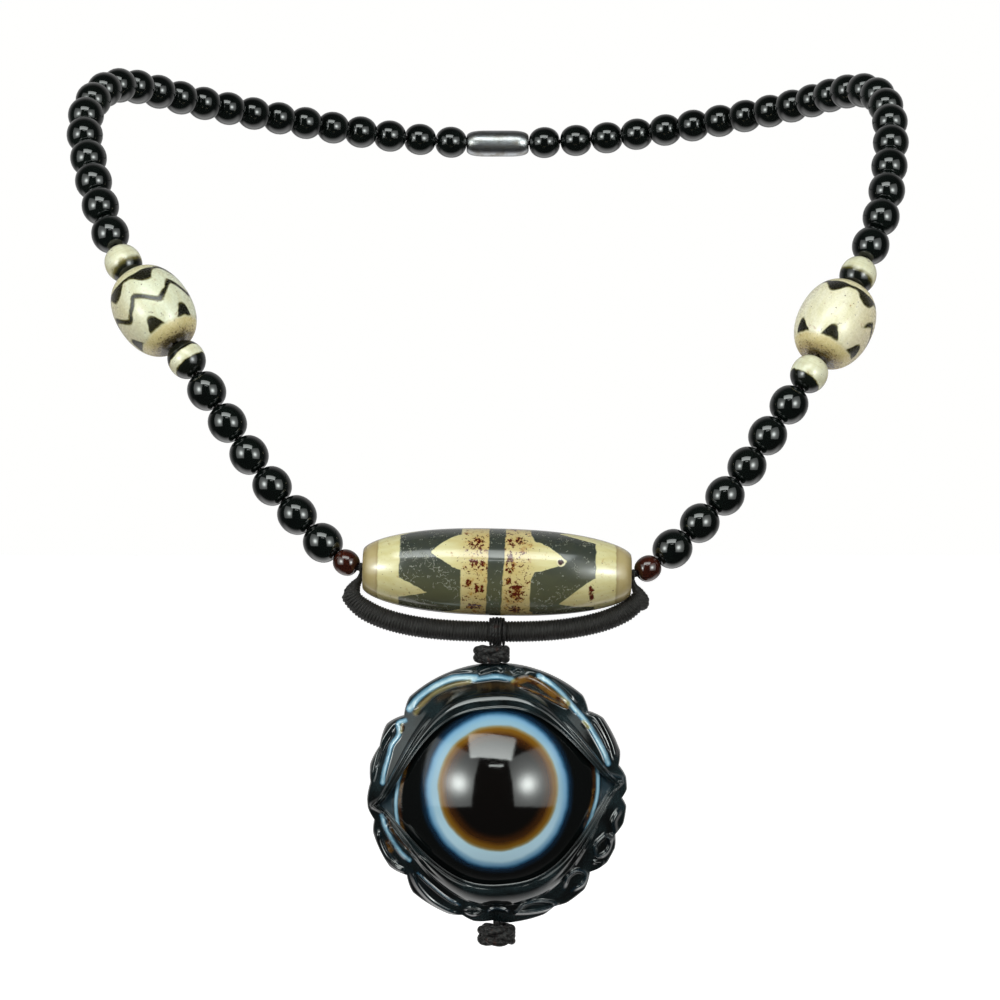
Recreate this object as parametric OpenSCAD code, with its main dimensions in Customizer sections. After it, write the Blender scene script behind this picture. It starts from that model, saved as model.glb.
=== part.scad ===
// Dzi bead necklace: a worn loop of strung agate beads, a thread-wrapped bar under the long
// bead, and a carved eye agate hung from the bar. The origin is where the loop bears on the
// nape, X runs from the wearer's right to left, the front of the necklace faces -Y, Z is up.

/* [Loop] */
// Distance of the long bead in front of the nape
loop_reach = 105.5; // [101:0.5:110]
// Fall of the long bead below the nape
loop_fall = 80; // [75:0.5:85]
// Distance of the loop's widest point from its middle
loop_half_w = 69; // [66:0.5:72]

/* [Small beads] */
// Diameter of a round black bead
black_bead_d = 6; // [5.4:0.1:6.4]
// Diameter of a banded bead
banded_bead_d = 5.9; // [5.4:0.1:6.4]
// Diameter of a garnet bead
garnet_bead_d = 4; // [3.4:0.1:4.4]
// Diameter of the hole through a bead
bead_bore_d = 1.2; // [1.1:0.05:1.6]
// Gap between neighbouring beads
bead_gap = 0.12; // [0.1:0.01:0.2]
// Black beads between a garnet bead and the lower banded bead
lower_bead_count = 6; // [3:1:7]

/* [Zigzag beads] */
// Length of the left zigzag bead
zigzag_left_len = 13.8; // [12:0.2:16]
// Length of the right zigzag bead
zigzag_right_len = 13.6; // [12:0.2:16]
// Largest diameter of a zigzag bead
zigzag_d = 12.2; // [10:0.2:14]
// Diameter of a zigzag bead's flat ends
zigzag_end_d = 5.2; // [4:0.1:6.5]

/* [Long dzi bead] */
// Length of the long bead
dzi_len = 41.2; // [38:0.2:43]
// Largest diameter of the long bead
dzi_d = 13.4; // [11:0.2:14]
// Diameter of the long bead's flat ends
dzi_end_d = 6; // [5:0.2:7.5]
// Slope of the long bead, its right end lower, in degrees
dzi_slope = 1.4; // [0:0.1:3]

/* [Thread and clasp] */
// Diameter of the stringing thread
thread_d = 0.8; // [0.5:0.05:0.9]
// Length of the barrel clasp
clasp_len = 12; // [9:0.5:15]
// Diameter of the barrel clasp
clasp_d = 5; // [4:0.2:6]
// Depth of the hole that takes the thread's end
clasp_hole_depth = 3; // [2:0.5:4]
// Clearance round the thread in the clasp
thread_clear = 0.2; // [0.1:0.05:0.3]

/* [Wrapped bar] */
// Diameter of the wrapped bar
bar_d = 3.3; // [2.6:0.1:3.5]
// Gap between the bar and the long bead at the middle
bar_gap = 0.8; // [0.6:0.05:1.5]
// Distance that the bar's middle line reaches past each end of the long bead
bar_overhang = 2.8; // [2.4:0.1:3.4]
// Thickness of the tie's eye along the thread
tie_eye_t = 0.45; // [0.4:0.05:0.6]
// Wall of the tie's eye
tie_eye_wall = 0.45; // [0.4:0.05:0.6]
// Running clearance of the tie's eye on the thread
tie_clear = 0.12; // [0.1:0.01:0.2]
// Room on the thread that lets a garnet bead lean away from the tie's eye
lean_room = 0.25; // [0.2:0.05:0.5]

/* [Pendant cord and knots] */
// Width of the hanging knot's eye over the bar
knot_eye_w = 2.5; // [1.6:0.1:4]
// Thickness of the eye's wall
knot_eye_t = 0.4; // [0.3:0.05:0.5]
// Running clearance of the eye on the bar
knot_eye_clear = 0.12; // [0.1:0.01:0.2]
// Outer diameter of the hanging knot
hanging_knot_d = 5.7; // [4:0.1:7]
// Height of the hanging knot
hanging_knot_h = 2.8; // [2.4:0.1:4.5]
// Outer diameter of the end knot
end_knot_d = 6.1; // [4:0.1:7]
// Height of the end knot
end_knot_h = 3.4; // [2.4:0.1:4.5]
// Diameter of the pendant's cord
cord_d = 1.2; // [0.8:0.1:1.5]
// Clearance round the cord in the pendant and the knots
cord_clear = 0.15; // [0.1:0.01:0.25]
// Length of the cord inside each knot
cord_in_knot = 1; // [0.6:0.1:1.2]
// Gap between the pendant and each knot
knot_gap = 0.2; // [0.1:0.05:0.5]

/* [Eye pendant] */
// Diameter of the pendant
pendant_d = 39.6; // [36:0.2:42]
// Height of the eye's dome above the rim's front edge
pendant_front_h = 10.3; // [8:0.1:13]
// Thickness of the rim
pendant_rim_t = 3.2; // [2.6:0.1:4.5]
// Height of the back's dome behind the rim
pendant_back_h = 7; // [4:0.1:9]
// Radius of the eyeball at its middle
eyeball_r = 14.5; // [12:0.5:18]
// Height of the eye's opening between the lids
eye_open_h = 26.6; // [22:0.2:28]
// Width of the eye's opening between its corners
eye_open_w = 35; // [31:0.2:36]
// Slope of the eye, its right corner higher, in degrees
eye_slope = 5; // [0:0.5:10]
// Width of the upper and lower lid at the middle
lid_w = 4.1; // [3:0.1:4.5]
// Height of the carved relief
relief_h = 0.6; // [0.3:0.05:1]
// Diameter of the flat boss where the cord enters
boss_d = 3.2; // [2.4:0.1:4]
// Distance of the rim's front edge in front of the cord's hole, so that the pendant hangs plumb
rim_ahead = 0.95; // [-3:0.05:3]

/* [Hidden] */

// Where the thread runs, from each garnet bead to the last point before the clasp: the left side,
// then the right side. Each point has its shares of the way out from the strand's start to the
// loop's half width, of the reach forwards and of the fall downwards
strand_routes = [
    [
        [0.036, 0.998, 0.988], [0.11, 0.982, 0.946], [0.284, 0.957, 0.835], [0.431, 0.943, 0.713],
        [0.562, 0.924, 0.595], [0.685, 0.9, 0.487], [0.798, 0.867, 0.394], [0.89, 0.815, 0.275],
        [0.954, 0.739, 0.17], [1, 0.659, 0.065], [0.966, 0.55, -0.017], [0.89, 0.45, -0.045],
        [0.673, 0.294, -0.037], [0.347, 0.137, -0.025], [-0.011, 0.024, -0.01]
    ],
    [
        [0.036, 0.998, 0.996], [0.115, 0.984, 0.957], [0.292, 0.952, 0.857], [0.437, 0.919, 0.738],
        [0.583, 0.897, 0.615], [0.682, 0.867, 0.51], [0.768, 0.827, 0.408], [0.863, 0.777, 0.286],
        [0.911, 0.705, 0.175], [0.941, 0.623, 0.065], [0.928, 0.521, -0.013], [0.852, 0.42, -0.04],
        [0.673, 0.251, -0.037], [0.368, 0.104, -0.025], [0.01, 0.005, -0.01]
    ]
];
steps_per_point = 8;

bead_fn = 64;
small_fn = 32;
cut_past = 1;
// Square to the loop's plane, so that no stretch of the thread runs along it
thread_up = [0, -0.6, 0.8];
thread_sides = 8;

// Middle of the long bead, and a point on its axis at a distance from that middle
dzi_middle = [0, -loop_reach, -loop_fall];
function on_axis(x) = dzi_middle + x * [cos(dzi_slope), 0, -sin(dzi_slope)];

// Space on the thread next to the long bead where a tie's eye turns, and the strand's start past
// it, with room for the garnet bead to lean
tie_space = tie_eye_t + 2 * tie_clear;
strand_start = dzi_len / 2 + tie_space + lean_room;
clasp_axis_y = clasp_d / 2;

// One point of a smooth curve through the points p, at the share t after point i
function smooth_point(p, i, t) =
    let (n = len(p) - 1, a = p[max(i - 1, 0)], b = p[i], c = p[min(i + 1, n)], d = p[min(i + 2, n)])
    0.5 * (2 * b + (c - a) * t + (2 * a - 5 * b + 4 * c - d) * t * t
        + (3 * b - a - 3 * c + d) * t * t * t);
function smooth_curve(p) = concat(
    [for (i = [0:len(p) - 2], k = [0:steps_per_point - 1]) smooth_point(p, i, k / steps_per_point)],
    [p[len(p) - 1]]
);
// Length run from the curve's start to each of its points
function run_lengths(c) = [for (i = 0, s = 0; i < len(c);
    s = s + (i + 1 < len(c) ? norm(c[i + 1] - c[i]) : 0), i = i + 1) s];
function at_length(c, run, s) = [for (axis = [0:2])
    lookup(s, [for (i = [0:len(c) - 1]) [run[i], c[i][axis]]])];
function total(v, n) = n == 0 ? 0 : v[n - 1] + total(v, n - 1);

// A side of the strand: the points on the thread that part its beads
function strand(side, route, zigzag_len) =
    let (
        c = smooth_curve(concat(
            [on_axis(side * strand_start)],
            [for (q = route) [side * (strand_start + q[0] * (loop_half_w - strand_start)),
                -q[1] * loop_reach, -q[2] * loop_fall]],
            [[side * clasp_len / 2, clasp_axis_y, 0]]
        )),
        run = run_lengths(c),
        front = concat([garnet_bead_d], [for (i = [1:lower_bead_count]) black_bead_d],
            [banded_bead_d, zigzag_len, banded_bead_d]),
        front_len = total(front, len(front)) + len(front) * bead_gap,
        rest = run[len(run) - 1] - front_len,
        neck_count = floor(rest / (black_bead_d + bead_gap)),
        spans = concat([for (size = front) size + bead_gap],
            [for (i = [1:neck_count]) rest / neck_count])
    )
    [for (i = [0:len(spans)]) at_length(c, run, total(spans, i))];
left_strand = strand(-1, strand_routes[0], zigzag_left_len);
right_strand = strand(1, strand_routes[1], zigzag_right_len);
function strand_of(side) = side == "left" ? left_strand : right_strand;
lower_banded = lower_bead_count + 1;
zigzag_place = lower_bead_count + 2;
upper_banded = lower_bead_count + 3;
first_neck_bead = lower_bead_count + 4;

// Rings of a tube round the points p, each of its own radius, seen square to the tube
function tube_points(p, radii, sides, up) = [for (i = [0:len(p) - 1])
    let (
        t = p[min(i + 1, len(p) - 1)] - p[max(i - 1, 0)],
        across = cross(up, t) / norm(cross(up, t)),
        over = cross(t, across) / norm(t)
    )
    for (k = [0:sides - 1])
        p[i] + radii[i] * (cos(360 * k / sides) * across + sin(360 * k / sides) * over)];
// Faces of a closed skin of rings, each end shut by its first or last ring
function skin_faces(rings, sides) = concat(
    [[for (k = [0:sides - 1]) k]],
    [for (r = [0:rings - 2], k = [0:sides - 1], half = [0, 1])
        let (a = r * sides + k, b = r * sides + (k + 1) % sides)
        half == 0 ? [a, a + sides, b] : [b, a + sides, b + sides]],
    [[for (k = [0:sides - 1]) rings * sides - 1 - k]]
);
module tube(p, radii, sides, up) {
    polyhedron(tube_points(p, radii, sides, up), skin_faces(len(p), sides));
}

// Places a shape, made along Z about its middle, between two points
module between(a, b) {
    v = b - a;
    translate((a + b) / 2)
        rotate([0, acos(v.z / norm(v)), atan2(v.y, v.x)])
            children();
}
module bead_bore(length) {
    cylinder(d = bead_bore_d, h = length + cut_past, center = true, $fn = small_fn);
}
module round_bead(d) {
    difference() {
        sphere(d = d, $fn = bead_fn);
        bead_bore(d);
    }
}

// A barrel bead: flat ends, shoulders that round quickly, and a middle as full as given
barrel_steps = 24;
shoulder_power = 0.62;
module barrel_bead(length, d, end_d, fullness) {
    difference() {
        rotate_extrude($fn = bead_fn)
            polygon(concat([[0, -length / 2]], [for (i = [0:barrel_steps])
                let (share = -cos(180 * i / barrel_steps))
                [end_d / 2 + (d - end_d) / 2 * pow(1 - pow(abs(share), fullness), shoulder_power),
                    share * length / 2]], [[0, length / 2]]));
        bead_bore(length);
    }
}

module garnet_bead(side) {
    s = strand_of(side);
    color("#451a12")
        between(s[0], s[1])
            round_bead(garnet_bead_d);
}
module black_bead(side, i) {
    s = strand_of(side);
    color("#10150f")
        between(s[i], s[i + 1])
            round_bead(black_bead_d);
}
module banded_bead(side, i) {
    s = strand_of(side);
    color("#cfc9a4")
        between(s[i], s[i + 1])
            round_bead(banded_bead_d);
}
module zigzag_bead(side, length) {
    s = strand_of(side);
    color("#e2dfc0")
        between(s[zigzag_place], s[zigzag_place + 1])
            barrel_bead(length, zigzag_d, zigzag_end_d, 2.2);
}
module neck_beads(side) {
    s = strand_of(side);
    color("#10150f")
        for (i = [first_neck_bead:len(s) - 2])
            between(s[i], s[i + 1])
                round_bead(black_bead_d);
}
module dzi_bead() {
    color("#8d8f70")
        between(on_axis(-dzi_len / 2), on_axis(dzi_len / 2))
            barrel_bead(dzi_len, dzi_d, dzi_end_d, 2.4);
}

// Half of the clasp's outline, above its middle, with a rounded shoulder
module clasp_half_outline() {
    shoulder_r = clasp_d / 4;
    square([clasp_d / 2 - shoulder_r, clasp_len / 2]);
    square([clasp_d / 2, clasp_len / 2 - shoulder_r]);
    translate([clasp_d / 2 - shoulder_r, clasp_len / 2 - shoulder_r])
        circle(r = shoulder_r, $fn = small_fn);
}
module clasp() {
    color("#b9bcbf")
        translate([0, clasp_axis_y, 0])
            rotate([0, 90, 0])
                difference() {
                    rotate_extrude($fn = 48) {
                        clasp_half_outline();
                        mirror([0, 1])
                            clasp_half_outline();
                    }
                    for (end = [-1, 1])
                        translate([0, 0, end * (clasp_len + cut_past - clasp_hole_depth) / 2])
                            cylinder(d = thread_d + 2 * thread_clear, h = clasp_hole_depth + cut_past,
                                center = true, $fn = small_fn);
                }
}
module thread() {
    thread_end = clasp_len / 2 - clasp_hole_depth * 0.85;
    path = concat(
        [[-thread_end, clasp_axis_y, 0]],
        [for (i = [len(left_strand) - 1:-1:0]) left_strand[i]],
        right_strand,
        [[thread_end, clasp_axis_y, 0]]
    );
    color("#1c1714")
        tube(path, [for (p = path) thread_d / 2], thread_sides, thread_up);
}

// Middle line of the bar: a flattened oval below the long bead's axis, open at the top
bar_span = dzi_len + 2 * bar_overhang;
bar_fall = dzi_d / 2 + bar_gap + bar_d / 2;
bar_fullness = 2.6;
bar_end_angle = 14;
bar_steps = 36;
bar_sides = 12;
bar_up = [0, 1, 0];
function bar_line(t) = [bar_span / 2 * sign(cos(t)) * pow(abs(cos(t)), 2 / bar_fullness), 0,
    -bar_fall * pow(sin(t), 2 / bar_fullness)];
// The bar thins over its last steps to this share of its diameter
bar_tip_share = 0.72;
bar_tip_steps = 3;
function bar_radius(i) = bar_d / 2
    * min(1, bar_tip_share + (1 - bar_tip_share) * min(i, bar_steps - i) / bar_tip_steps);
tie_eye_r = thread_d / 2 + tie_clear;
tie_eye_outer_r = tie_eye_r + tie_eye_wall;

// Places what is drawn about the middle of the long bead, X along its axis
module at_long_bead() {
    translate(dzi_middle)
        rotate([0, dzi_slope, 0])
            children();
}
// A tie: an eye round the thread, a short stem, and the bar's rounded end
module bar_tie(end) {
    eye = [end * (dzi_len + tie_space) / 2, 0, 0];
    foot = [end * bar_line(bar_end_angle).x, 0, bar_line(bar_end_angle).z];
    stem_top = eye - [0, 0, tie_eye_r + tie_eye_wall / 2];
    half_t = [tie_eye_t / 2, 0, 0];
    difference() {
        union() {
            between(eye - half_t, eye + half_t)
                cylinder(r = tie_eye_outer_r, h = tie_eye_t, center = true, $fn = small_fn);
            between(stem_top, foot)
                cylinder(d = tie_eye_t, h = norm(foot - stem_top), center = true, $fn = small_fn);
            translate(foot)
                sphere(d = bar_d * 0.9, $fn = small_fn);
        }
        between(eye - half_t, eye + half_t)
            cylinder(r = tie_eye_r, h = tie_eye_t + cut_past, center = true, $fn = small_fn);
    }
}
module wrapped_bar() {
    angles = [for (i = [0:bar_steps])
        bar_end_angle + (180 - 2 * bar_end_angle) * (1 - cos(180 * i / bar_steps)) / 2];
    color("#231f1c")
        at_long_bead() {
            tube([for (t = angles) bar_line(t)], [for (i = [0:bar_steps]) bar_radius(i)],
                bar_sides, bar_up);
            for (end = [-1, 1])
                bar_tie(end);
        }
}

// Depths along the hanging cord, below the long bead's axis
knot_eye_r = bar_d / 2 + knot_eye_clear;
knot_sunk = knot_eye_t / 4;
knot_top = bar_fall + knot_eye_r + knot_eye_t - knot_sunk;
knot_bottom = knot_top + hanging_knot_h;
pendant_top = knot_bottom + knot_gap;
pendant_bottom = pendant_top + pendant_d;
end_knot_top = pendant_bottom + knot_gap;
cord_hole_d = cord_d + 2 * cord_clear;

// A coiled knot of three turns round the Z axis, down from z = 0, with a hole for the cord
module coiled_knot(d, h, hole_up) {
    coil_d = h / 2.6;
    outer_turn_d = d * 0.88;
    hole_depth = cord_in_knot + cord_clear;
    difference() {
        union() {
            for (turn = [0:2])
                translate([0, 0, -coil_d / 2 - turn * (h - coil_d) / 2])
                    rotate_extrude($fn = 48)
                        translate([((turn == 1 ? d : outer_turn_d) - coil_d) / 2, 0])
                            circle(d = coil_d, $fn = 24);
            translate([0, 0, -h + coil_d / 4])
                cylinder(d = outer_turn_d - coil_d, h = h - coil_d / 4, $fn = 48);
        }
        translate([0, 0, hole_up ? -hole_depth : -h - cut_past])
            cylinder(d = cord_hole_d, h = hole_depth + cut_past, $fn = small_fn);
    }
}
module hanging_knot() {
    color("#241a18")
        translate(dzi_middle) {
            translate([0, 0, -bar_fall])
                rotate([0, 90 + dzi_slope, 0])
                    difference() {
                        cylinder(r = knot_eye_r + knot_eye_t, h = knot_eye_w, center = true, $fn = 48);
                        cylinder(r = knot_eye_r, h = knot_eye_w + cut_past, center = true, $fn = 48);
                    }
            translate([0, 0, -knot_top])
                coiled_knot(hanging_knot_d, hanging_knot_h, false);
        }
}
module pendant_cord() {
    color("#241a18")
        translate(dzi_middle + [0, 0, -end_knot_top - cord_in_knot])
            cylinder(d = cord_d, h = end_knot_top - knot_bottom + 2 * cord_in_knot, $fn = small_fn);
}
module end_knot() {
    color("#241a18")
        translate(dzi_middle + [0, 0, -end_knot_top])
            coiled_knot(end_knot_d, end_knot_h, true);
}

// Notches that part the pendant's rim into leaves: angle, depth as a share of the pendant's
// diameter, and half width in degrees
leaf_notches = [
    [12, 0.015, 6], [44, 0.022, 7], [140, 0.032, 8], [192, 0.012, 6], [222, 0.032, 8],
    [254, 0.01, 6], [290, 0.01, 6], [320, 0.03, 8], [340, 0.012, 6]
];
pendant_sides = 80;
// Powers of the outlines: of the lids' curve, the front dome's fall and the back dome's fall
lid_power = 2.3;
front_power = 1.6;
back_power = 2.2;
leaf_min_w = 1.2;
corner_inset = 0.4;
// How much deeper a notch cuts into the leaf's face than into the rim
notch_face_depth = 14;
function turn_between(a, b) = abs((a - b + 540) % 360 - 180);
function notch_at(a) = pendant_d
    * max([for (n = leaf_notches) n[1] * max(0, 1 - turn_between(a, n[0]) / n[2])]);
function rim_reach(a) = pendant_d / 2 - notch_at(a);
// Reach of an eye-shaped line, of the half width and half height given, found by halving
function eye_line(a, half_w, half_h, low, high, n) =
    let (r = (low + high) / 2)
    n == 0 ? r
    : abs(r * sin(a)) > half_h * (1 - pow(min(1, abs(r * cos(a)) / half_w), lid_power))
        ? eye_line(a, half_w, half_h, low, r, n - 1)
        : eye_line(a, half_w, half_h, r, high, n - 1);
function eye_reach(a) = eye_line(a - eye_slope, eye_open_w / 2, eye_open_h / 2, 0, pendant_d / 2, 14);
function lid_reach(a) = min(rim_reach(a) - leaf_min_w,
    eye_line(a - eye_slope, pendant_d / 2 - corner_inset, eye_open_h / 2 + lid_w, 0, pendant_d / 2, 14));
// Depth of the lids and leaves, and of the eyeball, behind the top of the dome
function lid_depth(r) = pendant_front_h * pow(2 * r / pendant_d, front_power);
function eye_depth(r) = min(r * r / (2 * eyeball_r), lid_depth(r) + 1.5 * relief_h);
// Shares of the way over the eyeball, and over the lid and the leaves with the relief's share
eyeball_rings = [0.08, 0.3, 0.5, 0.7, 0.86, 1];
lid_rings = [[0.06, 0.1], [0.2, 0.9], [0.34, 0.35], [0.5, 0.1], [0.72, 0.8], [1, 0.9]];
leaf_rings = [[0.15, -0.9], [0.45, 0.1], [0.8, -0.6]];
rim_edge_share = 0.3;
back_rings = [1, 0.93, 0.78, 0.58, 0.36, 0.15];
function pendant_ring(radius_of, front_of) = [for (k = [0:pendant_sides - 1])
    let (a = 360 * (1 - k / pendant_sides), r = radius_of(a))
    [r * cos(a), -rim_ahead - front_of(a, r), r * sin(a)]];
function mix(a, b, t) = a + (b - a) * t;
pendant_points = concat(
    [for (s = eyeball_rings) each pendant_ring(function (a) s * eye_reach(a),
        function (a, r) pendant_front_h - eye_depth(r))],
    [for (q = lid_rings) each pendant_ring(function (a) mix(eye_reach(a), lid_reach(a), q[0]),
        function (a, r) pendant_front_h - lid_depth(r) + q[1] * relief_h)],
    [for (q = leaf_rings) each pendant_ring(function (a) mix(lid_reach(a), rim_reach(a), q[0]),
        function (a, r) pendant_front_h - lid_depth(r)
            + relief_h * (q[1] - notch_face_depth * notch_at(a) / pendant_d * 2))],
    pendant_ring(function (a) rim_reach(a), function (a, r) -pendant_rim_t * rim_edge_share),
    [for (s = back_rings) each pendant_ring(function (a) s * (s < 1 ? pendant_d / 2 : rim_reach(a)),
        function (a, r) -pendant_rim_t - pendant_back_h * (1 - pow(s, back_power)))]
);
module eye_pendant() {
    boss_h = 2;
    color("#2b3236")
        translate(dzi_middle - [0, 0, (pendant_top + pendant_bottom) / 2])
            difference() {
                union() {
                    polyhedron(pendant_points,
                        skin_faces(len(pendant_points) / pendant_sides, pendant_sides));
                    for (end = [-1, 1])
                        translate([0, 0, end * (pendant_d - boss_h) / 2])
                            cylinder(d = boss_d, h = boss_h, center = true, $fn = small_fn);
                }
                cylinder(d = cord_hole_d, h = pendant_d + cut_past, center = true, $fn = small_fn);
            }
}

thread();
clasp();
dzi_bead();
for (side = ["left", "right"]) {
    garnet_bead(side);
    for (i = [1:lower_bead_count])
        black_bead(side, i);
    banded_bead(side, lower_banded);
    banded_bead(side, upper_banded);
    neck_beads(side);
}
zigzag_bead("left", zigzag_left_len);  // zigzag_bead_left
zigzag_bead("right", zigzag_right_len);  // zigzag_bead_right
wrapped_bar();
hanging_knot();
pendant_cord();
eye_pendant();
end_knot();
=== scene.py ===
import logging
import math
from dataclasses import dataclass, field
from enum import Enum
from functools import cache
from typing import Callable, Optional, Sequence, Union

import bmesh
import bpy
import numpy as np
from mathutils import Matrix, Vector


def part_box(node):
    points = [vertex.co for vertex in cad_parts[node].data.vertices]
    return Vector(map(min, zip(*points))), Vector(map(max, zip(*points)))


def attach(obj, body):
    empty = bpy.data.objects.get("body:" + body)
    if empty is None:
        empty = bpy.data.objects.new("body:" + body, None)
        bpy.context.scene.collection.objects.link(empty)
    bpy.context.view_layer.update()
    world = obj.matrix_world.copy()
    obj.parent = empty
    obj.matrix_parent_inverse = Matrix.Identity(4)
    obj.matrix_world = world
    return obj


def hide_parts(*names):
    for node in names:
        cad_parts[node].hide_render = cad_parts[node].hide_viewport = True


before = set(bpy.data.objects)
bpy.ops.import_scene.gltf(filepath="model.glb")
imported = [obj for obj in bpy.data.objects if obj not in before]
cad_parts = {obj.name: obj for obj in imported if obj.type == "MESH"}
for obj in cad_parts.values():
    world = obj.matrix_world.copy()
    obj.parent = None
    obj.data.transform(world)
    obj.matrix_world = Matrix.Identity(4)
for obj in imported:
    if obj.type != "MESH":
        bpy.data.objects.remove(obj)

# Dresses the dzi bead necklace: the glossy agate beads, the etched long bead and zigzag beads, the
# thread-wrapped bar with its knots, and the carved eye pendant. Sizes are in millimetres, and each
# bead has its own frame: X along its hole, Y towards its front, Z upwards.

# A millimetre in metres, a radian in degrees, a full turn in radians, and the bores' radius in mm
MM = 0.001
DEGREES = 57.2958
FULL_TURN = 6.28318
BORE_R = 0.6
LOG = logging.getLogger("necklace")
Pair = tuple[float, float]
Triple = tuple[float, float, float]
Colour = tuple[float, float, float, float]


def colour(code: str) -> Colour:
    """Gives the linear colour of a web colour code such as #3a2c1e.

    Args:
        code: the web colour code.

    Returns:
        Its red, green and blue parts, and a full alpha.
    """
    parts = [int(code[i:i + 2], 16) / 255 for i in (1, 3, 5)]
    red, green, blue = (c / 12.92 if c < 0.04045 else ((c + 0.055) / 1.055) ** 2.4 for c in parts)
    return red, green, blue, 1.0


class Body(str, Enum):
    """The moving bodies that a piece can ride on."""

    STRING = "neck_string"
    BAR = "cord_bar"
    DROP = "pendant_drop"


class Side(Enum):
    """A side of the necklace, as the photograph shows it."""

    LEFT = -1
    RIGHT = 1


def arithmetic(operation: str, swapped: bool = False) -> Callable[["Signal", "Value"], "Signal"]:
    """Makes one of Signal's operators, which adds a Math node over two values.

    Args:
        operation: the node's operation.
        swapped: whether the other value comes first.

    Returns:
        The operator's method.
    """
    def method(self: "Signal", other: "Value") -> "Signal":
        """Adds the Math node."""
        values = (other, self) if swapped else (self, other)
        return self.sheet.maths(operation, *values)

    return method


class Signal:
    """A number or colour on its way through a finish's nodes, written as plain arithmetic."""

    __add__ = __radd__ = arithmetic("ADD")
    __sub__, __rsub__ = arithmetic("SUBTRACT"), arithmetic("SUBTRACT", True)
    __mul__ = __rmul__ = arithmetic("MULTIPLY")
    __truediv__, __rtruediv__ = arithmetic("DIVIDE"), arithmetic("DIVIDE", True)
    __pow__, __rpow__ = arithmetic("POWER"), arithmetic("POWER", True)
    least, most = arithmetic("MINIMUM"), arithmetic("MAXIMUM")

    def __init__(self, sheet: "Sheet", socket: bpy.types.NodeSocket) -> None:
        """Keeps the node socket that gives the number."""
        self.sheet = sheet
        self.socket = socket

    def size(self) -> "Signal":
        """The number without its sign."""
        return self.sheet.maths("ABSOLUTE", self)

    def wrapped(self, turn: float) -> "Signal":
        """The number brought to within half a turn of 0 by whole turns."""
        return self.sheet.maths("WRAP", self, turn / 2, -turn / 2)

    def step(self, low: float, high: float) -> "Signal":
        """A smooth step that is 0 up to low and 1 from high on, or the other way round.

        Args:
            low: where the step begins.
            high: where it ends; below low for a falling step.

        Returns:
            A number from 0 to 1.
        """
        first, last = (0.0, 1.0) if low < high else (1.0, 0.0)
        inputs = {"Value": self, "From Min": min(low, high), "From Max": max(low, high),
                  "To Min": first, "To Max": last}
        return self.sheet.signal("ShaderNodeMapRange", {"interpolation_type": "SMOOTHSTEP"}, inputs)


Value = Union[Signal, float]
Shade = Union[Signal, str]


def squares(first: Signal, second: Signal) -> Signal:
    """The sum of two numbers' squares."""
    return first ** 2.0 + second ** 2.0


class Sheet:
    """A sheet of nodes: of a finish, a lamp or the surround."""

    def __init__(self, tree: bpy.types.NodeTree) -> None:
        """Takes the node tree to write on."""
        self.tree = tree

    def plug(self, socket: bpy.types.NodeSocket, value: Union[Value, Shade, tuple]) -> None:
        """Links a signal to a socket, or sets the socket to a plain value or a web colour.

        Args:
            socket: the input.
            value: what it gets.
        """
        if isinstance(value, Signal):
            self.tree.links.new(value.socket, socket)
        else:
            socket.default_value = colour(value) if isinstance(value, str) else value

    def node(self, kind: str, settings: dict, inputs: dict) -> bpy.types.Node:
        """Adds a node.

        Args:
            kind: the node's type.
            settings: its properties, which are set first.
            inputs: its sockets by name or place, each with a signal or a plain value.

        Returns:
            The new node.
        """
        made = self.tree.nodes.new(kind)
        for name, value in settings.items():
            setattr(made, name, value)
        for name, value in inputs.items():
            self.plug(made.inputs[name], value)
        return made

    def signal(self, kind: str, settings: dict, inputs: dict,
               output: Union[int, str] = 0) -> Signal:
        """Adds a node as above, and gives one of its outputs."""
        return Signal(self, self.node(kind, settings, inputs).outputs[output])

    def maths(self, operation: str, *values: Value) -> Signal:
        """Adds a Math node over up to three values."""
        return self.signal("ShaderNodeMath", {"operation": operation}, dict(enumerate(values)))

    def attribute(self, name: str) -> Signal:
        """Reads a vector that is stored on the mesh's points."""
        return self.signal("ShaderNodeAttribute", {"attribute_name": name}, {}, "Vector")

    def place(self) -> Signal:
        """The point's place on the object, in metres."""
        return self.signal("ShaderNodeTexCoord", {}, {}, "Object")

    def parts(self, vector: Signal) -> tuple[Signal, ...]:
        """Splits a vector into its three numbers."""
        made = self.node("ShaderNodeSeparateXYZ", {}, {0: vector})
        return tuple(Signal(self, output) for output in made.outputs)

    def joined(self, x: Value, y: Value, z: Value) -> Signal:
        """Joins three numbers into a vector."""
        return self.signal("ShaderNodeCombineXYZ", {}, {0: x, 1: y, 2: z})

    def mix(self, base: Shade, *layers: tuple[Value, Shade]) -> Signal:
        """Lays colours over a first one, in their order.

        Args:
            base: the first colour.
            layers: the factor and the colour of each layer.

        Returns:
            The colour on top.
        """
        for factor, top in layers:
            base = self.signal("ShaderNodeMix", {"data_type": "RGBA"},
                               {0: factor, 6: base, 7: top}, 2)
        return base


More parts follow.
